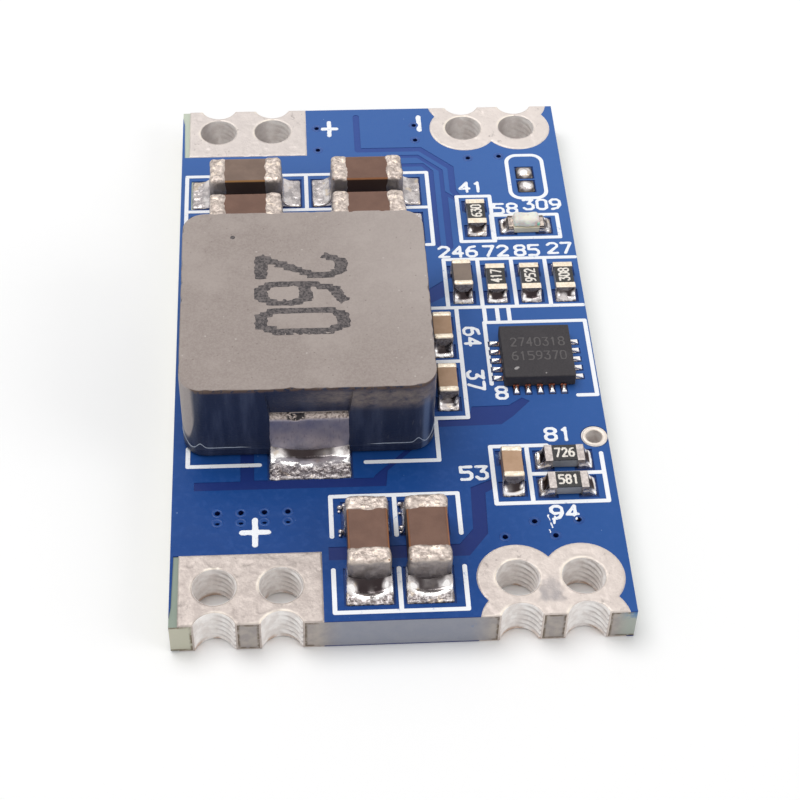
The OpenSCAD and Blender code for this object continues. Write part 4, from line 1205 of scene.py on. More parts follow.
def mound(clay, centre, axis, sign, reach, width, toe, side, film, rise, fall, seed, horns=0.0, under=0.25,
          step=0.05, contrast=1.0, crests=(0.32, 0.3)):
    """Solder on one pad: a hollow fillet climbs the part's end face, with a crest before it, painted bright.

    The crest bows away from the part, its horns run up the part's corners, painted highlights lie on the
    horns, the hollow carries painted shade, and the rest of the pad is gritty.
    """
    length_here = toe + under
    middle = np.array(centre[:2], float)
    middle[axis] += sign * (reach + toe - length_here / 2)
    half = np.array([0.0, 0.0])
    half[axis], half[1 - axis] = length_here / 2, width / 2 + side
    body_outline = block(middle, half, min(0.1, half.min() * 0.4))

    def outline(x, y):
        return body_outline(x, y) + 0.015 * (1 + uneven_map(x, y, 0.25, seed + 2))

    def places(x, y):
        out = sign * ((x, y)[axis] - centre[axis]) - reach
        across = np.abs((x, y)[1 - axis] - centre[1 - axis])
        share = across / (width / 2)
        bow = (crests[0] + crests[1] * np.clip(1 - share**2, 0, 1) + 0.05 * uneven_map(x, y, 0.5, seed)) * toe
        return out, across, share, bow

    def top(x, y, depth):
        out, across, share, bow = places(x, y)
        distance = np.hypot(np.maximum(out, 0), np.maximum(across - width / 2, 0))
        climb = rise * np.exp(-distance / fall) * (1 + horns * (share**2 - 0.4))
        climb = climb * smooth(toe, toe * 0.55, out)
        crest = 0.05 * toe * np.exp(-(((out - bow) / (0.14 * toe)) ** 2))
        gritty = smooth(bow, bow + 0.15 * toe, out)
        lumps = 0.035 * uneven_map(x, y, 0.26, seed) + 0.03 * uneven_map(x, y, 0.11, seed + 7)
        lumps = lumps * gritty * contrast
        body = film + climb + crest + np.maximum(lumps, -film * 0.6)
        return Z_COPPER + 0.012 + body * dome(depth, 0.12)

    # painted light: painted highlights on the crest, the horns, the ribs and light streaks, painted shade in
    # the hollow
    def shade(x, y):
        out, _, share, bow = places(x, y)
        before, beyond = np.minimum(out - bow, 0), np.maximum(out - bow, 0)
        crest = np.exp(-((before / (0.1 * toe)) ** 2) - (beyond / (0.11 * toe)) ** 2)
        crest = crest * (0.3 + 0.7 * smooth(-0.7, 0.3, uneven_map(x, y, 0.3, seed + 4)))
        near, far = (0.8, 0.3) if seed % 2 else (0.6, 0.42)
        side_of = (x, y)[1 - axis] - centre[1 - axis]
        spot = np.where(side_of < 0, near, far)
        horn_highlight = np.exp(-(((share - 0.76) / 0.15) ** 2) - ((out - spot * bow) / (0.14 * toe)) ** 2)
        rib = smooth(0.8, 0.95, share) * smooth(0.3 * bow, 0.6 * bow, out) * smooth(bow, 0.8 * bow, out)
        horn_highlight = np.maximum(horn_highlight, rib * smooth(-0.4, 0.6, uneven_map(x, y, 0.22, seed + 6)))
        hollow = smooth(bow, bow - 0.2 * toe, out) * smooth(1.1, 0.85, share)
        hollow = np.clip(hollow * (0.84 + 0.3 * uneven_map(x, y, 0.3, seed + 8)), 0, 0.95)
        streaks = uneven_map(x * (4, 1)[axis], y * (1, 4)[axis], 0.5, seed + 12)
        lights = smooth(0.45, 0.9, streaks) * smooth(0, 0.3 * toe, out)
        crest = np.maximum(crest, 0.6 * lights * smooth(bow, 0.6 * bow, out))
        tone = np.clip(1.2 * (crest + horn_highlight), 0, 1) - hollow * np.clip(1 - crest - horn_highlight, 0, 1)
        return tone * contrast, smooth(bow, bow + 0.2 * toe, out) * contrast

    clay.relief(outline, middle - half - step, middle + half + step, step, top, Z_COPPER - 0.001, shade)


class MODULE_OT_power_solder(ModuleOperator, bpy.types.Operator):
    """Run solder up the ends of the power capacitors"""

    bl_idname = "module.power_solder"
    bl_label = "Solder of the power capacitors"

    def execute(self, context):
        s = context.scene.module_solder
        # how high the solder climbs, how fast it falls away, its contrast and its crests, by the chip's axis
        shapes = ((s.power_rise * 0.6, 0.13, 0.3, (0.2, 0.12)), (s.power_rise, 0.2, 1.0, (0.32, 0.3)))
        clay = Clay()
        for number, name in enumerate(POWER_CAPS):
            mid, long, wide, _, axis = chip(name)
            for sign in (-1, 1):
                seed = 11 + 2 * number + sign
                rise, fall, contrast, crests = shapes[axis]
                mound(
                    clay, mid, axis, sign, long / 2, wide, s.power_toe, s.side, s.seat, rise, fall, seed,
                    horns=0.35, under=0.8, step=0.04, contrast=contrast, crests=crests,
                )
        clay.piece("solder_mounds_power", finish("solder"), "solder", replaces=["solder_power_capacitors"])
        return {"FINISHED"}


class MODULE_OT_small_solder(ModuleOperator, bpy.types.Operator):
    """Run solder up the ends of the small chips and the lamp"""

    bl_idname = "module.small_solder"
    bl_label = "Solder of the small chips"

    def execute(self, context):
        s = context.scene.module_solder
        clay = Clay()
        for number, name in enumerate(SMALL_CAPS + RESISTORS):
            mid, long, wide, high, axis = chip(name)
            rise = min(s.small_rise * (1.3 if name in SMALL_CAPS else 1.0), high * 0.9)
            for sign in (-1, 1):
                mound(
                    clay, mid, axis, sign, long / 2, wide, s.small_toe, s.small_side, s.seat, rise,
                    0.14, 31 + 2 * number + sign, horns=0.9, under=0.3, step=0.03, crests=(0.62, 0.16),
                )
        clay.piece("solder_mounds_small", finish("solder"), "solder", replaces=["solder_small_chips"])
        clay = Clay()
        mid, long, wide, high, axis = chip("indicator")
        for sign in (-1, 1):
            mound(
                clay, mid, axis, sign, long / 2, wide, s.small_toe, s.small_side, s.seat, high * 0.9,
                0.13, 61 + sign, horns=0.6, under=0.3, step=0.03, crests=(0.5, 0.2),
            )
        clay.piece("solder_mounds_lamp", finish("solder"), "solder", replaces=["solder_indicator"])
        return {"FINISHED"}


class MODULE_OT_jumper_solder(ModuleOperator, bpy.types.Operator):
    """Fill the two open jumper pads with solder"""

    bl_idname = "module.jumper_solder"
    bl_label = "Solder of the jumper"

    def execute(self, context):
        clay = Clay()
        _, _, mid, size = span("jumper_pads")
        pad = 0.78
        half = np.array([size[0], pad]) / 2
        for sign in (-1, 1):
            centre = np.array([mid[0], mid[1] + sign * (size[1] - pad) / 2])

            def top(x, y, depth, sign=sign):
                bulge = 0.16 * dome(depth, 0.36) + 0.015 * uneven_map(x, y, 0.25, 90 + sign)
                return Z_COPPER + 0.01 + bulge * dome(depth, 0.12)

            # painted highlight in the middle of the pad and painted shade towards its borders
            def shade(x, y, centre=centre):
                off = np.hypot((x - centre[0]) / half[0], (y - centre[1] + 0.05) / half[1])
                painted_highlight = smooth(0.6, 0.3, off + 0.25 * uneven_map(x, y, 0.2, 95))
                return painted_highlight - smooth(0.55, 0.9, off) * 0.7, np.zeros_like(x)

            low, high = centre - half - 0.05, centre + half + 0.05
            clay.relief(block(centre, half, 0.12), low, high, 0.03, top, Z_COPPER, shade)
        clay.piece("solder_jumper", finish("solder"), "solder", replaces=["jumper_pads"])
        return {"FINISHED"}


class MODULE_OT_controller_solder(ModuleOperator, bpy.types.Operator):
    """Put a small wedge of solder in front of each controller contact"""

    bl_idname = "module.controller_solder"
    bl_label = "Solder of the controller"

    contact_count: bpy.props.IntProperty(name="Contacts", description="Contacts on each side", default=5)
    contact_pitch: length("Pitch", "Distance between neighbouring contacts, mm", 0.5)
    contact_width: length("Width", "Width of a contact, mm", 0.24)
    toe: length("Toe", "Pad length beyond the package, mm", 0.42)

    def execute(self, context):
        s = context.scene.module_solder
        _, _, mid, size = span("controller_package")
        clay = Clay()
        for axis in (0, 1):
            for sign in (-1, 1):
                for i in range(self.contact_count):
                    centre = mid.copy()
                    centre[1 - axis] += (i - (self.contact_count - 1) / 2) * self.contact_pitch
                    self.wedge(clay, centre[:2], axis, sign, size[axis] / 2, s.seat)
        clay.relief(
            block(mid[:2], (0.85, 0.85), 0.05), mid[:2] - 0.95, mid[:2] + 0.95, 0.12,
            lambda x, y, depth: Z_COPPER + s.seat * dome(depth, 0.08), Z_COPPER,
        )
        clay.piece("solder_mounds_controller", finish("solder"), "solder", replaces=["solder_controller"])
        return {"FINISHED"}

    def wedge(self, clay, centre, axis, sign, face, film):
        """A ridge of solder, painted bright, that widens from the contact's tip to the pad's outer end."""
        middle = centre.copy()
        middle[axis] += sign * (face + self.toe / 2 - 0.12)
        half = np.array([0.0, 0.0])
        half[axis], half[1 - axis] = self.toe / 2 + 0.12, self.contact_width / 2
        clay.relief(
            block(middle, half, 0.03), middle - half - 0.03, middle + half + 0.03, 0.03,
            lambda x, y, depth: Z_COPPER + 0.01 + (film - 0.03) * dome(depth, 0.04), Z_COPPER - 0.001,
            lambda x, y: (np.full_like(x, 0.1), np.zeros_like(x)),
        )

        def places(x, y):
            out = (sign * ((x, y)[axis] - centre[axis]) - face - 0.02) / (self.toe - 0.04)
            return out, np.abs((x, y)[1 - axis] - centre[1 - axis])

        def outline(x, y):
            out, across = places(x, y)
            wide = 0.045 + (self.contact_width / 2 - 0.045) * np.clip(out, 0, 1)
            return np.maximum(across - wide, np.maximum(-out, out - 1) * self.toe)

        def ridge(x, y, depth):
            return Z_COPPER + film - 0.01 + (0.14 - 0.06 * places(x, y)[0]) * dome(depth, 0.05)

        # painted highlight, brighter towards the pad's outer end
        clay.relief(
            outline, middle - half - 0.03, middle + half + 0.03, 0.02, ridge, Z_COPPER,
            lambda x, y: (0.2 + 0.8 * smooth(0.0, 0.3, places(x, y)[0]), np.zeros_like(x)),
        )


class MODULE_OT_strap_solder(ModuleOperator, bpy.types.Operator):
    """Flow solder from the inductor's straps over their pads"""

    bl_idname = "module.strap_solder"
    bl_label = "Solder of the inductor"

    def execute(self, context):
        s = context.scene.module_solder
        wide = context.scene.module_inductor.strap_width
        clay = Clay()
        reach = CORE_SIZE[1] / 2 - 0.01
        for sign in (-1, 1):
            mound(
                clay, CORE_MID, 1, sign, reach, wide, s.strap_toe, s.side, s.seat, s.strap_rise,
                0.2, 141 + sign, horns=0.7, under=0.5, step=0.04, contrast=0.9, crests=(0.3, 0.12),
            )
        clay.piece("solder_mounds_inductor", finish("solder"), "solder", replaces=["solder_inductor"])
        return {"FINISHED"}


class MODULE_OT_via_collars(ModuleOperator, bpy.types.Operator):
    """Draw the mask up round each small through hole as a low shiny collar"""

    bl_idname = "module.via_collars"
    bl_label = "Collars of the small holes"

    radius: length("Radius", "Outer radius of a collar, mm", 0.24)

    def execute(self, context):
        clay = Clay()
        for centre in via_centres():
            ring = without(disc(centre, self.radius), disc(centre, 0.11))
            clay.relief(
                ring, centre - self.radius - 0.03, centre + self.radius + 0.03, 0.025,
                lambda x, y, depth: Z_MASK + 0.022 * dome(depth, 0.09), Z_MASK - 0.003,
            )
        clay.piece("via_collars", finish("via_collar"), "solder_mask")
        return {"FINISHED"}


def via_centres():
    """Centres of the small through holes, from the separate barrels of their CAD node."""
    mesh = frame["nodes"]["via_barrels"].data
    places = np.array([v.co[:2] for v in mesh.vertices]) / MM
    centres = []
    for place in places:
        close = [c for c in centres if np.hypot(*(c[0] - place)) < 0.45]
        if close:
            close[0][1].append(place)
        else:
            centres.append((place, [place]))
    return [(np.min(group, 0) + np.max(group, 0)) / 2 for _, group in centres]


class MODULE_OT_beads(ModuleOperator, bpy.types.Operator):
    """Scatter the few loose solder beads beside the front capacitors"""

    bl_idname = "module.beads"
    bl_label = "Solder beads"

    def execute(self, context):
        _, _, mid, size = span("front_capacitor_1_ends")
        clay = Clay()
        left = mid[0] - size[0] / 2
        # place from the capacitor's left side and middle, and radius, in mm
        places = (
            (-0.17, 2.2, 0.1), (-0.2, 2.02, 0.06), (-0.16, 1.0, 0.1), (-0.19, 0.82, 0.06),
            (2.2, 2.3, 0.09), (2.17, 1.85, 0.05), (2.21, 1.1, 0.1), (2.18, 0.9, 0.06),
        )
        for dx, dy, radius in places:
            centre = np.array([left + dx, mid[1] + dy, Z_MASK + radius * 0.8])
            clay.lump(centre, (2 * radius,) * 3, radius * 0.98, radius)
        clay.piece("solder_beads", finish("solder"), "solder")
        return {"FINISHED"}


class MODULE_OT_capacitor_ends(ModuleOperator, bpy.types.Operator):
    """Shape the thick, slightly lumpy tinned ends of the capacitors"""

    bl_idname = "module.capacitor_ends"
    bl_label = "Capacitor ends"

    power_end: length("Power end", "Length of a power capacitor's ends, mm", 0.8)
    small_end: length("Small end", "Length of a small capacitor's ends, mm", 0.3)

    def execute(self, context):
        for number, name in enumerate(POWER_CAPS + SMALL_CAPS):
            mid, long, wide, high, axis = chip(name)
            power = name in POWER_CAPS
            end = self.power_end if power else self.small_end
            rough = 0.045 if power else 0.012
            clay = Clay()
            for sign in (-1, 1):
                centre = mid.copy()
                centre[axis] += sign * (long - end) / 2
                size = np.array([wide, wide, high])
                size[axis] = end

                def push(points, normals, sign=sign, centre=centre, axis=axis, seed=number * 2 + sign):
                    amount = rough * uneven(points, 0.42 if power else 0.25, seed)
                    amount += rough * 0.35 * uneven(points, 0.13, seed + 3)
                    shift = normals * amount[:, None]
                    inward = smooth(0.3, 0.9, -sign * normals[:, axis])
                    lip = 0.05 if power else 0.015
                    flat = points.copy()
                    flat[:, axis] = 0
                    shift[:, axis] -= sign * inward * lip * uneven(flat, 0.5, seed + 9)
                    shift[:, 2] = np.where(normals[:, 2] < -0.5, 0, shift[:, 2])
                    return shift

                clay.lump(centre, size, 0.22 if power else 0.1, 0.055 if power else 0.045, push)
            style = "tinned_ends" if power else "bright_ends"
            clay.piece(f"{name}_tin", finish(style), "tinned_ends", replaces=[name + "_ends"], crease=80)
        return {"FINISHED"}


def core_outline(inset, bulge, depth, reach, half_x, half_y, corner):
    """One level of the core's outline: the front and back faces dip by depth within reach of the middle."""
    flat_x, flat_y = half_x - corner, half_y - corner
    outer, floor, side, turn = 24, 28, 56, 13
    xs = np.concatenate([
        np.linspace(-flat_x, -reach, outer, endpoint=False), [-reach],
        np.linspace(-reach + 0.03, reach - 0.03, floor), [reach],
        np.linspace(reach, flat_x, outer + 1)[1:],
    ])
    dip = np.where(np.abs(xs) < reach - 0.02, depth, 0.0)
    grow = bulge - inset
    rows = [np.column_stack([xs, -half_y - grow + dip])]
    rows.append(arc(flat_x, -flat_y, corner + grow, -90, turn))
    rows.append(np.column_stack([np.full(side, half_x + grow), np.linspace(-flat_y, flat_y, side)]))
    rows.append(arc(flat_x, flat_y, corner + grow, 0, turn))
    rows.append(np.column_stack([xs[::-1], half_y + grow - dip[::-1]]))
    rows.append(arc(-flat_x, flat_y, corner + grow, 90, turn))
    rows.append(np.column_stack([np.full(side, -half_x - grow), np.linspace(flat_y, -flat_y, side)]))
    rows.append(arc(-flat_x, -flat_y, corner + grow, 180, turn))
    return np.concatenate(rows)


def arc(x, y, radius, start, count):
    """Points between the two ends of a quarter circle that starts at an angle in degrees."""
    angles = np.radians(start + 90 * np.arange(1, count) / count)
    return np.column_stack([x + radius * np.cos(angles), y + radius * np.sin(angles)])


class MODULE_OT_core(ModuleOperator, bpy.types.Operator):
    """Shape the inductor's moulded body with its pockets, seam and chipped edges"""

    bl_idname = "module.core"
    bl_label = "Inductor body"

    def execute(self, context):
        s = context.scene.module_inductor
        half_x, half_y = CORE_SIZE[0] / 2 - FLASH, CORE_SIZE[1] / 2 - FLASH
        tall = CORE_SIZE[2] - s.drop
        exit_z = s.strap_exit
        levels = [0, 0.02, 0.045, s.bevel, 0.16, 0.26]
        levels += [s.seam + off for off in (-0.035, -0.012, 0.012, 0.035)]
        levels += list(np.linspace(0.5, exit_z - 0.02, 15)) + [exit_z]
        levels += list(np.linspace(exit_z + 0.06, tall - 0.16, 12))
        levels += [tall - below for below in (0.12, 0.09, s.bevel, 0.045, 0.02, 0.006, 0)]
        rings = []
        for z in levels:
            inset = s.bevel - math.sqrt(max(0.0, s.bevel**2 - max(0.0, s.bevel - z) ** 2))
            inset += s.bevel - math.sqrt(max(0.0, s.bevel**2 - max(0.0, s.bevel - (tall - z)) ** 2))
            bulge = FLASH if abs(z - s.seam) < 0.02 else 0.0
            rising = min(max((z - exit_z) / (tall - exit_z), 0.0), 1.0)
            depth = s.pocket * (1 - rising) if z >= exit_z else s.strap_thickness + 0.01
            if z < 0.01:
                depth = 0.0
            reach = (s.strap_width + (s.pocket_top - s.strap_width) * rising) / 2
            flat = core_outline(inset, bulge, depth, reach, half_x, half_y, s.corner)
            rings.append(np.column_stack([flat, np.full(len(flat), z)]))
        count = len(rings[0])
        points = self.worn(np.concatenate(rings), tall, s.seam)
        top_ring = points[-count:]
        top_rings = []
        for factor in (0.985, 0.95, 0.88, 0.76, 0.6, 0.42, 0.22):
            ring = top_ring * (factor, factor, 1)
            ring[:, 2] = tall - 0.004 + 0.003 * uneven(ring, 0.9, 5)
            top_rings.append(ring)
        points = np.concatenate([points, *top_rings, [[0, 0, tall - 0.004], [0, 0, 0]]])
        faces = list(grid_faces(len(rings) + len(top_rings), count, True))
        hub, base = len(points) - 2, len(points) - 1
        last = hub - count
        faces += [(last + c, last + (c + 1) % count, hub) for c in range(count)]
        faces += [((c + 1) % count, c, base) for c in range(count)]
        points = points + (CORE_MID[0], CORE_MID[1], CORE_LOW[2])
        add_piece(
            "inductor_core", points, faces, finish("moulded_core"), "moulded_core", crease=38,
            replaces=["inductor_body"],
        )
        return {"FINISHED"}

    @staticmethod
    def worn(points, tall, seam):
        """Gentle waves on the sides, small kinks in the seam and chips along the upper edge."""
        out = points.copy()
        away = points[:, :2] / np.maximum(np.linalg.norm(points[:, :2], axis=1), 1e-6)[:, None]
        wave = 0.012 * uneven(points, 1.4, 1) + 0.004 * uneven(points, 0.3, 2)
        near_top = np.exp(-(((tall - points[:, 2]) / 0.09) ** 2))
        chips = smooth(0.15, 0.7, uneven(points, 0.34, 8)) * 0.07 * near_top
        calm = smooth(0.0, 0.1, points[:, 2])
        out[:, :2] += away * ((np.minimum(wave, 0.0) - chips) * calm)[:, None]
        out[:, 2] -= smooth(0.2, 0.8, uneven(points, 0.4, 12)) * 0.03 * near_top
        kink = smooth(0.72, 0.9, uneven(points * np.array([1, 1, 0]), 0.8, 21))
        out[:, 2] += kink * 0.1 * np.exp(-(((points[:, 2] - seam) / 0.08) ** 2))
        return out


class MODULE_OT_core_seam(ModuleOperator, bpy.types.Operator):
    """Lay the thin pale flash of the mould's seam round the inductor, with its kinks at the corners"""

    bl_idname = "module.core_seam"
    bl_label = "Inductor seam"

    def execute(self, context):
        s = context.scene.module_inductor
        half_x, half_y = CORE_SIZE[0] / 2 - FLASH, CORE_SIZE[1] / 2 - FLASH
        clay = Clay()
        for sx, sy in ((-1, -1), (1, -1), (1, 1), (-1, 1)):
            near = s.strap_width / 2 + 0.75
            front = [(x, half_y) for x in np.linspace(near, half_x - s.corner, 30)]
            bend = [(half_x - s.corner + s.corner * math.sin(t), half_y - s.corner + s.corner * math.cos(t))
                    for t in np.radians(np.linspace(3, 90, 24))]
            side = [(half_x, y) for y in np.linspace(half_y - s.corner - 0.1, half_y - 3.6, 24)]
            route = np.array(front + bend + side) * (sx, sy)
            walked = np.concatenate([[0], np.cumsum(np.linalg.norm(np.diff(route, axis=0), axis=1))])
            turn = walked - (half_x - s.corner - near)
            kink = 0.24 * np.exp(-(((turn - 0.25) / 0.16) ** 2)) - 0.1 * np.exp(-(((turn - 0.62) / 0.2) ** 2))
            kink += 0.26 * smooth(0.75, 1.3, turn)
            ends = smooth(0.0, 0.5, walked) * smooth(walked[-1], walked[-1] - 0.8, walked)
            jitter = 0.015 * uneven(np.column_stack([route, 0 * walked]), 0.2, 5)
            middle = CORE_LOW[2] + s.seam + 0.12 + kink + jitter
            self.ribbon(clay, route, middle, 0.004 + 0.04 * ends, 0.003 + 0.01 * ends, sx * sy < 0)
        clay.piece("inductor_seam", finish("core_seam"), "moulded_core")
        return {"FINISHED"}

    @staticmethod
    def ribbon(clay, route, middle, half, proud, flip):
        """A closed strip along a route: its section is a low triangle that stands out of the body."""
        ahead = np.gradient(route, axis=0)
        out = np.column_stack([ahead[:, 1], -ahead[:, 0]])
        out /= np.linalg.norm(out, axis=1)[:, None]
        out *= np.sign((out * route).sum(1))[:, None]
        points = []
        for place, away, z, tall, depth in zip(route, out, middle, half, proud):
            for shift, rise in ((-0.01, -tall), (depth, 0), (-0.01, tall)):
                spot = place + away * shift
                points.append((CORE_MID[0] + spot[0], CORE_MID[1] + spot[1], z + rise))
        last = 3 * (len(route) - 1)
        faces = list(grid_faces(len(route), 3, True)) + [(2, 1, 0), (last, last + 1, last + 2)]
        clay.add(points, [tuple(reversed(face)) for face in faces] if flip else faces)


class MODULE_OT_straps(ModuleOperator, bpy.types.Operator):
    """Bend the inductor's straps from their pockets down to the pads"""

    bl_idname = "module.straps"
    bl_label = "Inductor straps"

    def execute(self, context):
        s = context.scene.module_inductor
        t = s.strap_thickness
        bend = t + 0.1
        top = s.strap_exit + 0.03
        out = 0.02
        seat = span("inductor_strap_front")[0][2]
        route, normal = [(-0.5, top)], [(0, 1)]
        for step in range(9):
            a = math.radians(90 - 90 * step / 8)
            route.append((out - bend + bend * math.cos(a), top - bend + bend * math.sin(a)))
            normal.append((math.cos(a), math.sin(a)))
        for z in np.linspace(top - bend - 0.08, bend + 0.06, 22):
            route.append((out, z))
            normal.append((1, 0))
        for step in range(9):
            a = math.radians(-90 * step / 8)
            route.append((out - bend + bend * math.cos(a), bend + bend * math.sin(a)))
            normal.append((math.cos(a), math.sin(a)))
        route.append((-0.8, 0))
        normal.append((0, -1))
        route, normal = np.array(route), np.array(normal, float)
        columns = 41
        for name, side in (("front", -1), ("back", 1)):
            points = []
            across = np.linspace(-1, 1, columns)
            for offset in (0.0, -t):
                for (d, z), (nd, nz) in zip(route, normal):
                    edge = s.strap_width / 2 + 0.02 * uneven([(z, d, side)], 0.22, 4)[0]
                    x = across * edge
                    flat = np.column_stack([x, np.full(columns, d * 2.0), np.full(columns, z)])
                    dent = 0.012 * uneven(flat, 0.7, 6 + side) + 0.004 * uneven(flat, 0.2, 8)
                    nick = 0.07 * np.exp(-(((x + 0.55) / 0.16) ** 2))
                    nick = nick * math.exp(-(((z - top + 0.06) / 0.14) ** 2))
                    shift = offset + (np.minimum(dent, 0.008) - nick if offset == 0 else 0 * x)
                    points.append(np.column_stack([x, d + nd * shift, z + nz * shift]))
            across, out, up = np.concatenate(points).T
            out = out + CORE_SIZE[1] / 2 - FLASH
            placed = np.column_stack([CORE_MID[0] - side * across, CORE_MID[1] + side * out, seat + up])
            faces = self.faces(len(route), columns)
            add_piece(
                f"inductor_terminal_{name}", placed, faces, finish("strap_metal"), "strap_metal", crease=50,
                replaces=[f"inductor_strap_{name}"],
            )
        return {"FINISHED"}

    @staticmethod
    def faces(rows, columns):
        """Faces of a bent strip whose points are two grids, one skin after the other."""
        skin = rows * columns
        faces = []
        for r in range(rows - 1):
            for a in range(r * columns, (r + 1) * columns - 1):
                quad = (a, a + 1, a + 1 + columns, a + columns)
                faces += [quad[::-1], tuple(skin + i for i in quad)]
            for a, turn in ((r * columns, -1), ((r + 1) * columns - 1, 1)):
                faces.append((a, a + columns, skin + a + columns, skin + a)[::turn])
        for first, turn in ((0, 1), (skin - columns, -1)):
            for a in range(first, first + columns - 1):
                faces.append((a, a + 1, skin + a + 1, skin + a)[::turn])
        return faces


class MODULE_OT_core_digits(ModuleOperator, bpy.types.Operator):
    """Ink a plain number and a dot on the inductor"""

    bl_idname = "module.core_digits"
    bl_label = "Number on the inductor"

    number: bpy.props.StringProperty(name="Number", description="Plain digits on the core", default="260")

    def execute(self, context):
        s = context.scene.module_inductor
        z = CORE_HIGH[2] - s.drop - 0.002
        clay = Clay()
        centre = from_corner(5.35, 13.55)
        lines = digit_lines(self.number, centre, 3.3, 1.15, 0.42, -90)
        write(clay, lines, (0.26, 0.16), z, 0.009, 0.045, worn=0.03, seed=4, stair=0.17)
        spot = from_corner(2.53, 16.94)
        write(clay, [[tuple(spot), tuple(spot + 0.01)]], (0.1, 0.1), z, 0.008, 0.03)
        clay.piece("core_number", finish("core_mark"), "moulded_core")
        return {"FINISHED"}


# text, place of its centre from the board's front left corner in mm, and turn in degrees
LABELS = (
    ("41", 13.35, 24.25, 0), ("58", 14.8, 22.72, 0), ("309", 16.5, 22.95, 0), ("246", 12.4, 19.93, 0),
    ("72", 14.1, 19.93, 0), ("85", 15.5, 19.93, 0), ("27", 16.98, 20.03, 0), ("64", 12.6, 14.65, -90),
    ("37", 12.56, 12.1, -90), ("53", 12.05, 7.04, 0), ("81", 15.67, 8.98, 0), ("94", 15.46, 4.88, 0),
    ("8", 13.57, 11.35, 0),
)


class MODULE_OT_labels(ModuleOperator, bpy.types.Operator):
    """Print plain numbers beside the parts and the plus and minus signs at the terminals"""

    bl_idname = "module.labels"
    bl_label = "Printed numbers and signs"

    def execute(self, context):
        s = context.scene.module_print
        clay = Clay()
        half = s.stroke / 2
        for number, (text, x, y, turn) in enumerate(LABELS):
            lines = digit_lines(text, from_corner(x, y), s.height - s.stroke, 0.42, 0.2, turn)
            write(clay, lines, (half, half), Z_MASK, s.thickness, 0.035, worn=0.012, seed=number)
        smear = (((14.8, 4.75), (14.9, 4.15)), ((15.05, 4.7), (15.0, 4.35)), ((14.76, 4.05), (14.84, 3.84)))
        smear = [[tuple(from_corner(*point)) for point in line] for line in smear]
        write(clay, smear, (0.03, 0.03), Z_MASK, s.thickness * 0.4, 0.025, worn=0.03, seed=40)
        clay.piece("printed_numbers", finish("white_print"), "white_print")
        clay = Clay()
        for x, y, tall, wide, stroke in ((3.27, 4.35, 1.47, 1.24, 0.24), (6.93, 28.6, 1.18, 0.87, 0.2)):
            cx, cy = from_corner(x, y)
            up, over = (tall - stroke) / 2, (wide - stroke) / 2
            cross = [[(cx, cy - up), (cx, cy + up)], [(cx - over, cy), (cx + over, cy)]]
            write(clay, cross, (stroke / 2, stroke / 2), Z_MASK, s.thickness, 0.04, worn=0.012)
        top, bottom = from_corner(11.22, 29.36), from_corner(11.22, 28.39)
        write(clay, [[tuple(bottom), tuple(top)]], (0.12, 0.12), Z_MASK, s.thickness, 0.04, worn=0.012)
        clay.piece("terminal_signs", finish("white_print"), "white_print")
        return {"FINISHED"}


class MODULE_OT_chip_digits(ModuleOperator, bpy.types.Operator):
    """Put plain digits on the resistors"""

    bl_idname = "module.chip_digits"
    bl_label = "Numbers on the resistors"

    codes: bpy.props.StringProperty(
        name="Resistor numbers", description="Plain numbers on the resistors, in their order",
        default="630 417 952 308 726 581",
    )

    def execute(self, context):
        clay = Clay()
        for name, code in zip(RESISTORS, self.codes.split()):
            mid, _, _, high, axis = chip(name)
            lines = digit_lines(code, mid[:2], 0.42, 0.18, 0.1, 90 * axis)
            write(clay, lines, (0.042, 0.042), mid[2] + high / 2, 0.006, 0.014, worn=0.008, seed=8)
        clay.piece("resistor_numbers", finish("coat_mark"), "black_coat")
        return {"FINISHED"}


class MODULE_OT_controller(ModuleOperator, bpy.types.Operator):
    """Make the controller's moulding, its faint numbers and its dot"""

    bl_idname = "module.controller"
    bl_label = "Controller"

    def execute(self, context):
        low, high, mid, size = span("controller_package")
        body = Clay()

        def soften(points, normals):
            return 0.006 * normals * (uneven(points, 0.5, 71) - 1)[:, None]

        body.lump(mid, size, 0.06, 0.06, soften)
        slot = "package_moulding"
        body.piece("controller_moulding", finish("package_moulding"), slot, replaces=["controller_package"])
        clay = Clay()
        for text, shift in (("2740318", 0.5), ("6159370", -0.3)):
            lines = digit_lines(text, mid[:2] + np.array([0.06, shift]), 0.46, 0.22, 0.12, 0)
            write(clay, lines, (0.03, 0.03), high[2] - 0.001, 0.004, 0.018, worn=0.01, seed=6)
        clay.piece("controller_numbers", finish("package_mark"), slot)
        clay = Clay()
        dot = low[:2] + (0.55, 0.5)
        fleck = low[:2] + (1.75, 0.18)
        write(clay, [[dot - 0.03, dot + 0.03]], (0.08, 0.06), high[2] - 0.008, 0.006, 0.015, worn=0.01)
        write(clay, [[fleck, fleck + 0.01]], (0.03, 0.03), high[2] - 0.001, 0.006, 0.012)
        clay.piece("controller_dot", finish("package_dot"), slot)
        return {"FINISHED"}


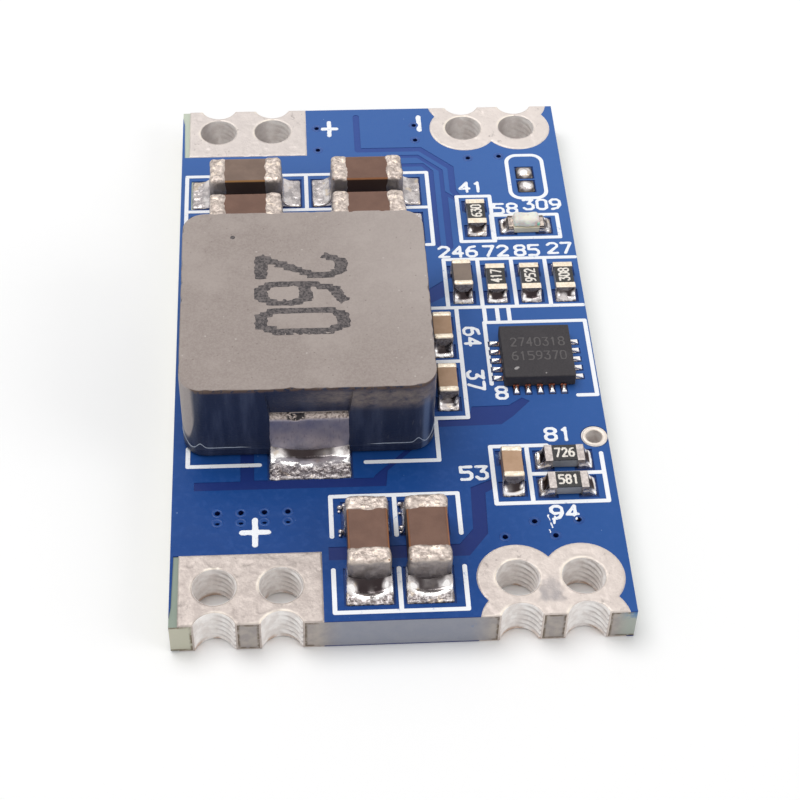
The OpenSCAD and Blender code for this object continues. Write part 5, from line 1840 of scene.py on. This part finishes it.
class MODULE_OT_lamp(ModuleOperator, bpy.types.Operator):
    """Add the die under the lamp's lens and its green marks"""

    bl_idname = "module.lamp"
    bl_label = "Lamp marks"

    def execute(self, context):
        low, high, mid, size = span("indicator_lens")
        clay = Clay()

        def slump(points, normals):
            shift = 0.03 * normals * uneven(points, 0.4, 3)[:, None]
            rise = np.clip((points[:, 2] - low[2]) / size[2], 0, 1)[:, None]
            shift[:, :2] -= 0.1 * rise * (points[:, :2] - mid[:2]) / (size[:2] / 2)
            shift[:, 2] = np.minimum(shift[:, 2], 0)
            return shift

        clay.lump(mid, size, 0.14, 0.05, slump)
        clay.piece("lamp_lens", finish("lamp_lens"), "lamp_lens", replaces=["indicator_lens"], crease=80)
        clay = Clay()
        clay.lump((mid[0] + 0.1, mid[1] + 0.02, high[2] - 0.012), (0.12, 0.09, 0.02), 0.008, 0.03)
        clay.piece("lamp_die", finish("lamp_die"), "lamp_lens")
        clay = Clay()
        clay.lump((high[0] - 0.12, low[1] + 0.13, mid[2] - 0.04), (0.12, 0.2, 0.14), 0.03, 0.04)
        clay.lump((high[0] - 0.16, high[1] - 0.14, mid[2] + 0.02), (0.1, 0.12, 0.14), 0.03, 0.04)
        clay.piece("lamp_marks", finish("lamp_mark"), "lamp_lens")
        return {"FINISHED"}


FLOOR_REACH = 1500.0
# how far the camera looks down, aside and is turned about its own axis, in degrees; its place in mm
CAMERA_ANGLES = (47.81, 4.71, 1.94)
CAMERA_PLACE = (-3.874, -56.482, 59.8)
CAMERA_LENS = 85.18


class MODULE_OT_stage(ModuleOperator, bpy.types.Operator):
    """Set the floor, the even sky, the lamps and the camera"""

    bl_idname = "module.stage"
    bl_label = "Stage"

    def execute(self, context):
        scene = context.scene
        s = scene.module_stage
        scene.view_settings.view_transform = "Standard"
        corners = [(x * FLOOR_REACH, y * FLOOR_REACH, -0.02) for x, y in ((-1, -1), (1, -1), (1, 1), (-1, 1))]
        add_piece("floor", corners, [(0, 1, 2, 3)], finish("floor"), "", stage=True)
        self.sky(scene, s.sky)
        self.lamp("key", (-60, 60, 230), 190, s.key)
        self.lamp("fill", (190, -90, 120), 140, s.fill)
        self.camera(scene)
        return {"FINISHED"}

    @staticmethod
    def sky(scene, strength):
        world = bpy.data.worlds.new("Even sky")
        scene.world = world
        world.use_nodes = True
        tree = world.node_tree
        tree.nodes.clear()
        kinds = ("OutputWorld", "Background", "Background", "MixShader", "LightPath", "Math", "Math")
        out, light, white, mix, path, first, second = (tree.nodes.new("ShaderNode" + kind) for kind in kinds)
        light.inputs[1].default_value = strength
        for ground in (light, white):
            ground.inputs[0].default_value = (1.0, 1.0, 1.0, 1.0)
        first.operation = second.operation = "MAXIMUM"
        for source, target in (
            (path.outputs["Is Camera Ray"], first.inputs[0]),
            (path.outputs["Is Glossy Ray"], first.inputs[1]),
            (first.outputs[0], second.inputs[0]),
            (path.outputs["Is Transmission Ray"], second.inputs[1]),
            (second.outputs[0], mix.inputs[0]),
            (light.outputs[0], mix.inputs[1]),
            (white.outputs[0], mix.inputs[2]),
            (mix.outputs[0], out.inputs[0]),
        ):
            tree.links.new(source, target)

    @staticmethod
    def lamp(name, place, size, power):
        """A round lamp that looks at the frame's origin."""
        data = bpy.data.lights.new(name, "AREA")
        data.shape = "DISK"
        data.size = size * MM
        data.energy = power
        lamp = bpy.data.objects.new(name, data)
        lamp.location = Vector(place) * MM
        lamp.rotation_euler = (-lamp.location).to_track_quat("-Z", "Y").to_euler()
        bpy.context.scene.collection.objects.link(lamp)

    @staticmethod
    def camera(scene):
        down, aside, roll = (math.radians(angle) for angle in CAMERA_ANGLES)
        ahead = Vector((math.sin(aside) * math.cos(down), math.cos(aside) * math.cos(down), -math.sin(down)))
        right = Vector((math.cos(aside), -math.sin(aside), 0))
        up = right.cross(ahead)
        turned_right = right * math.cos(roll) + up * math.sin(roll)
        turned_up = up * math.cos(roll) - right * math.sin(roll)
        data = bpy.data.cameras.new("camera")
        data.lens = CAMERA_LENS
        data.sensor_width = 36
        data.clip_start = 0.001
        camera = bpy.data.objects.new("camera", data)
        pose = Matrix((turned_right, turned_up, -ahead)).transposed().to_4x4()
        pose.translation = Vector(CAMERA_PLACE) * MM
        camera.matrix_world = pose
        scene.collection.objects.link(camera)
        scene.camera = camera


OPERATORS = (
    MODULE_OT_finishes, MODULE_OT_tin_plates, MODULE_OT_hole_walls, MODULE_OT_power_solder,
    MODULE_OT_small_solder, MODULE_OT_jumper_solder, MODULE_OT_controller_solder, MODULE_OT_strap_solder,
    MODULE_OT_via_collars, MODULE_OT_beads, MODULE_OT_capacitor_ends, MODULE_OT_core, MODULE_OT_core_seam,
    MODULE_OT_straps, MODULE_OT_core_digits, MODULE_OT_labels, MODULE_OT_chip_digits, MODULE_OT_controller,
    MODULE_OT_lamp, MODULE_OT_stage,
)

SETTINGS = {
    "module_tin": TinSettings,
    "module_solder": SolderSettings,
    "module_inductor": InductorSettings,
    "module_print": PrintSettings,
    "module_stage": StageSettings,
}


class MODULE_PT_panel(bpy.types.Panel):
    """Lists the steps and their sizes"""

    bl_idname = "MODULE_PT_panel"
    bl_label = "Buck converter module"
    bl_space_type = "VIEW_3D"
    bl_region_type = "UI"
    bl_category = "Module"

    def draw(self, context):
        column = self.layout.column(align=True)
        for operator in OPERATORS:
            column.operator(operator.bl_idname)
        for key, group in SETTINGS.items():
            box = self.layout.box()
            settings = getattr(context.scene, key)
            for name in group.__annotations__:
                box.prop(settings, name)


def register():
    for group in SETTINGS.values():
        bpy.utils.register_class(group)
    for operator in OPERATORS:
        bpy.utils.register_class(operator)
    bpy.utils.register_class(MODULE_PT_panel)
    for key, group in SETTINGS.items():
        setattr(bpy.types.Scene, key, bpy.props.PointerProperty(type=group))


def unregister():
    for key in SETTINGS:
        delattr(bpy.types.Scene, key)
    bpy.utils.unregister_class(MODULE_PT_panel)
    for operator in reversed(OPERATORS):
        bpy.utils.unregister_class(operator)
    for group in SETTINGS.values():
        bpy.utils.unregister_class(group)


def main():
    register()
    for operator in OPERATORS:
        family, name = operator.bl_idname.split(".")
        getattr(getattr(bpy.ops, family), name)()


if __name__ == "__main__":
    main()
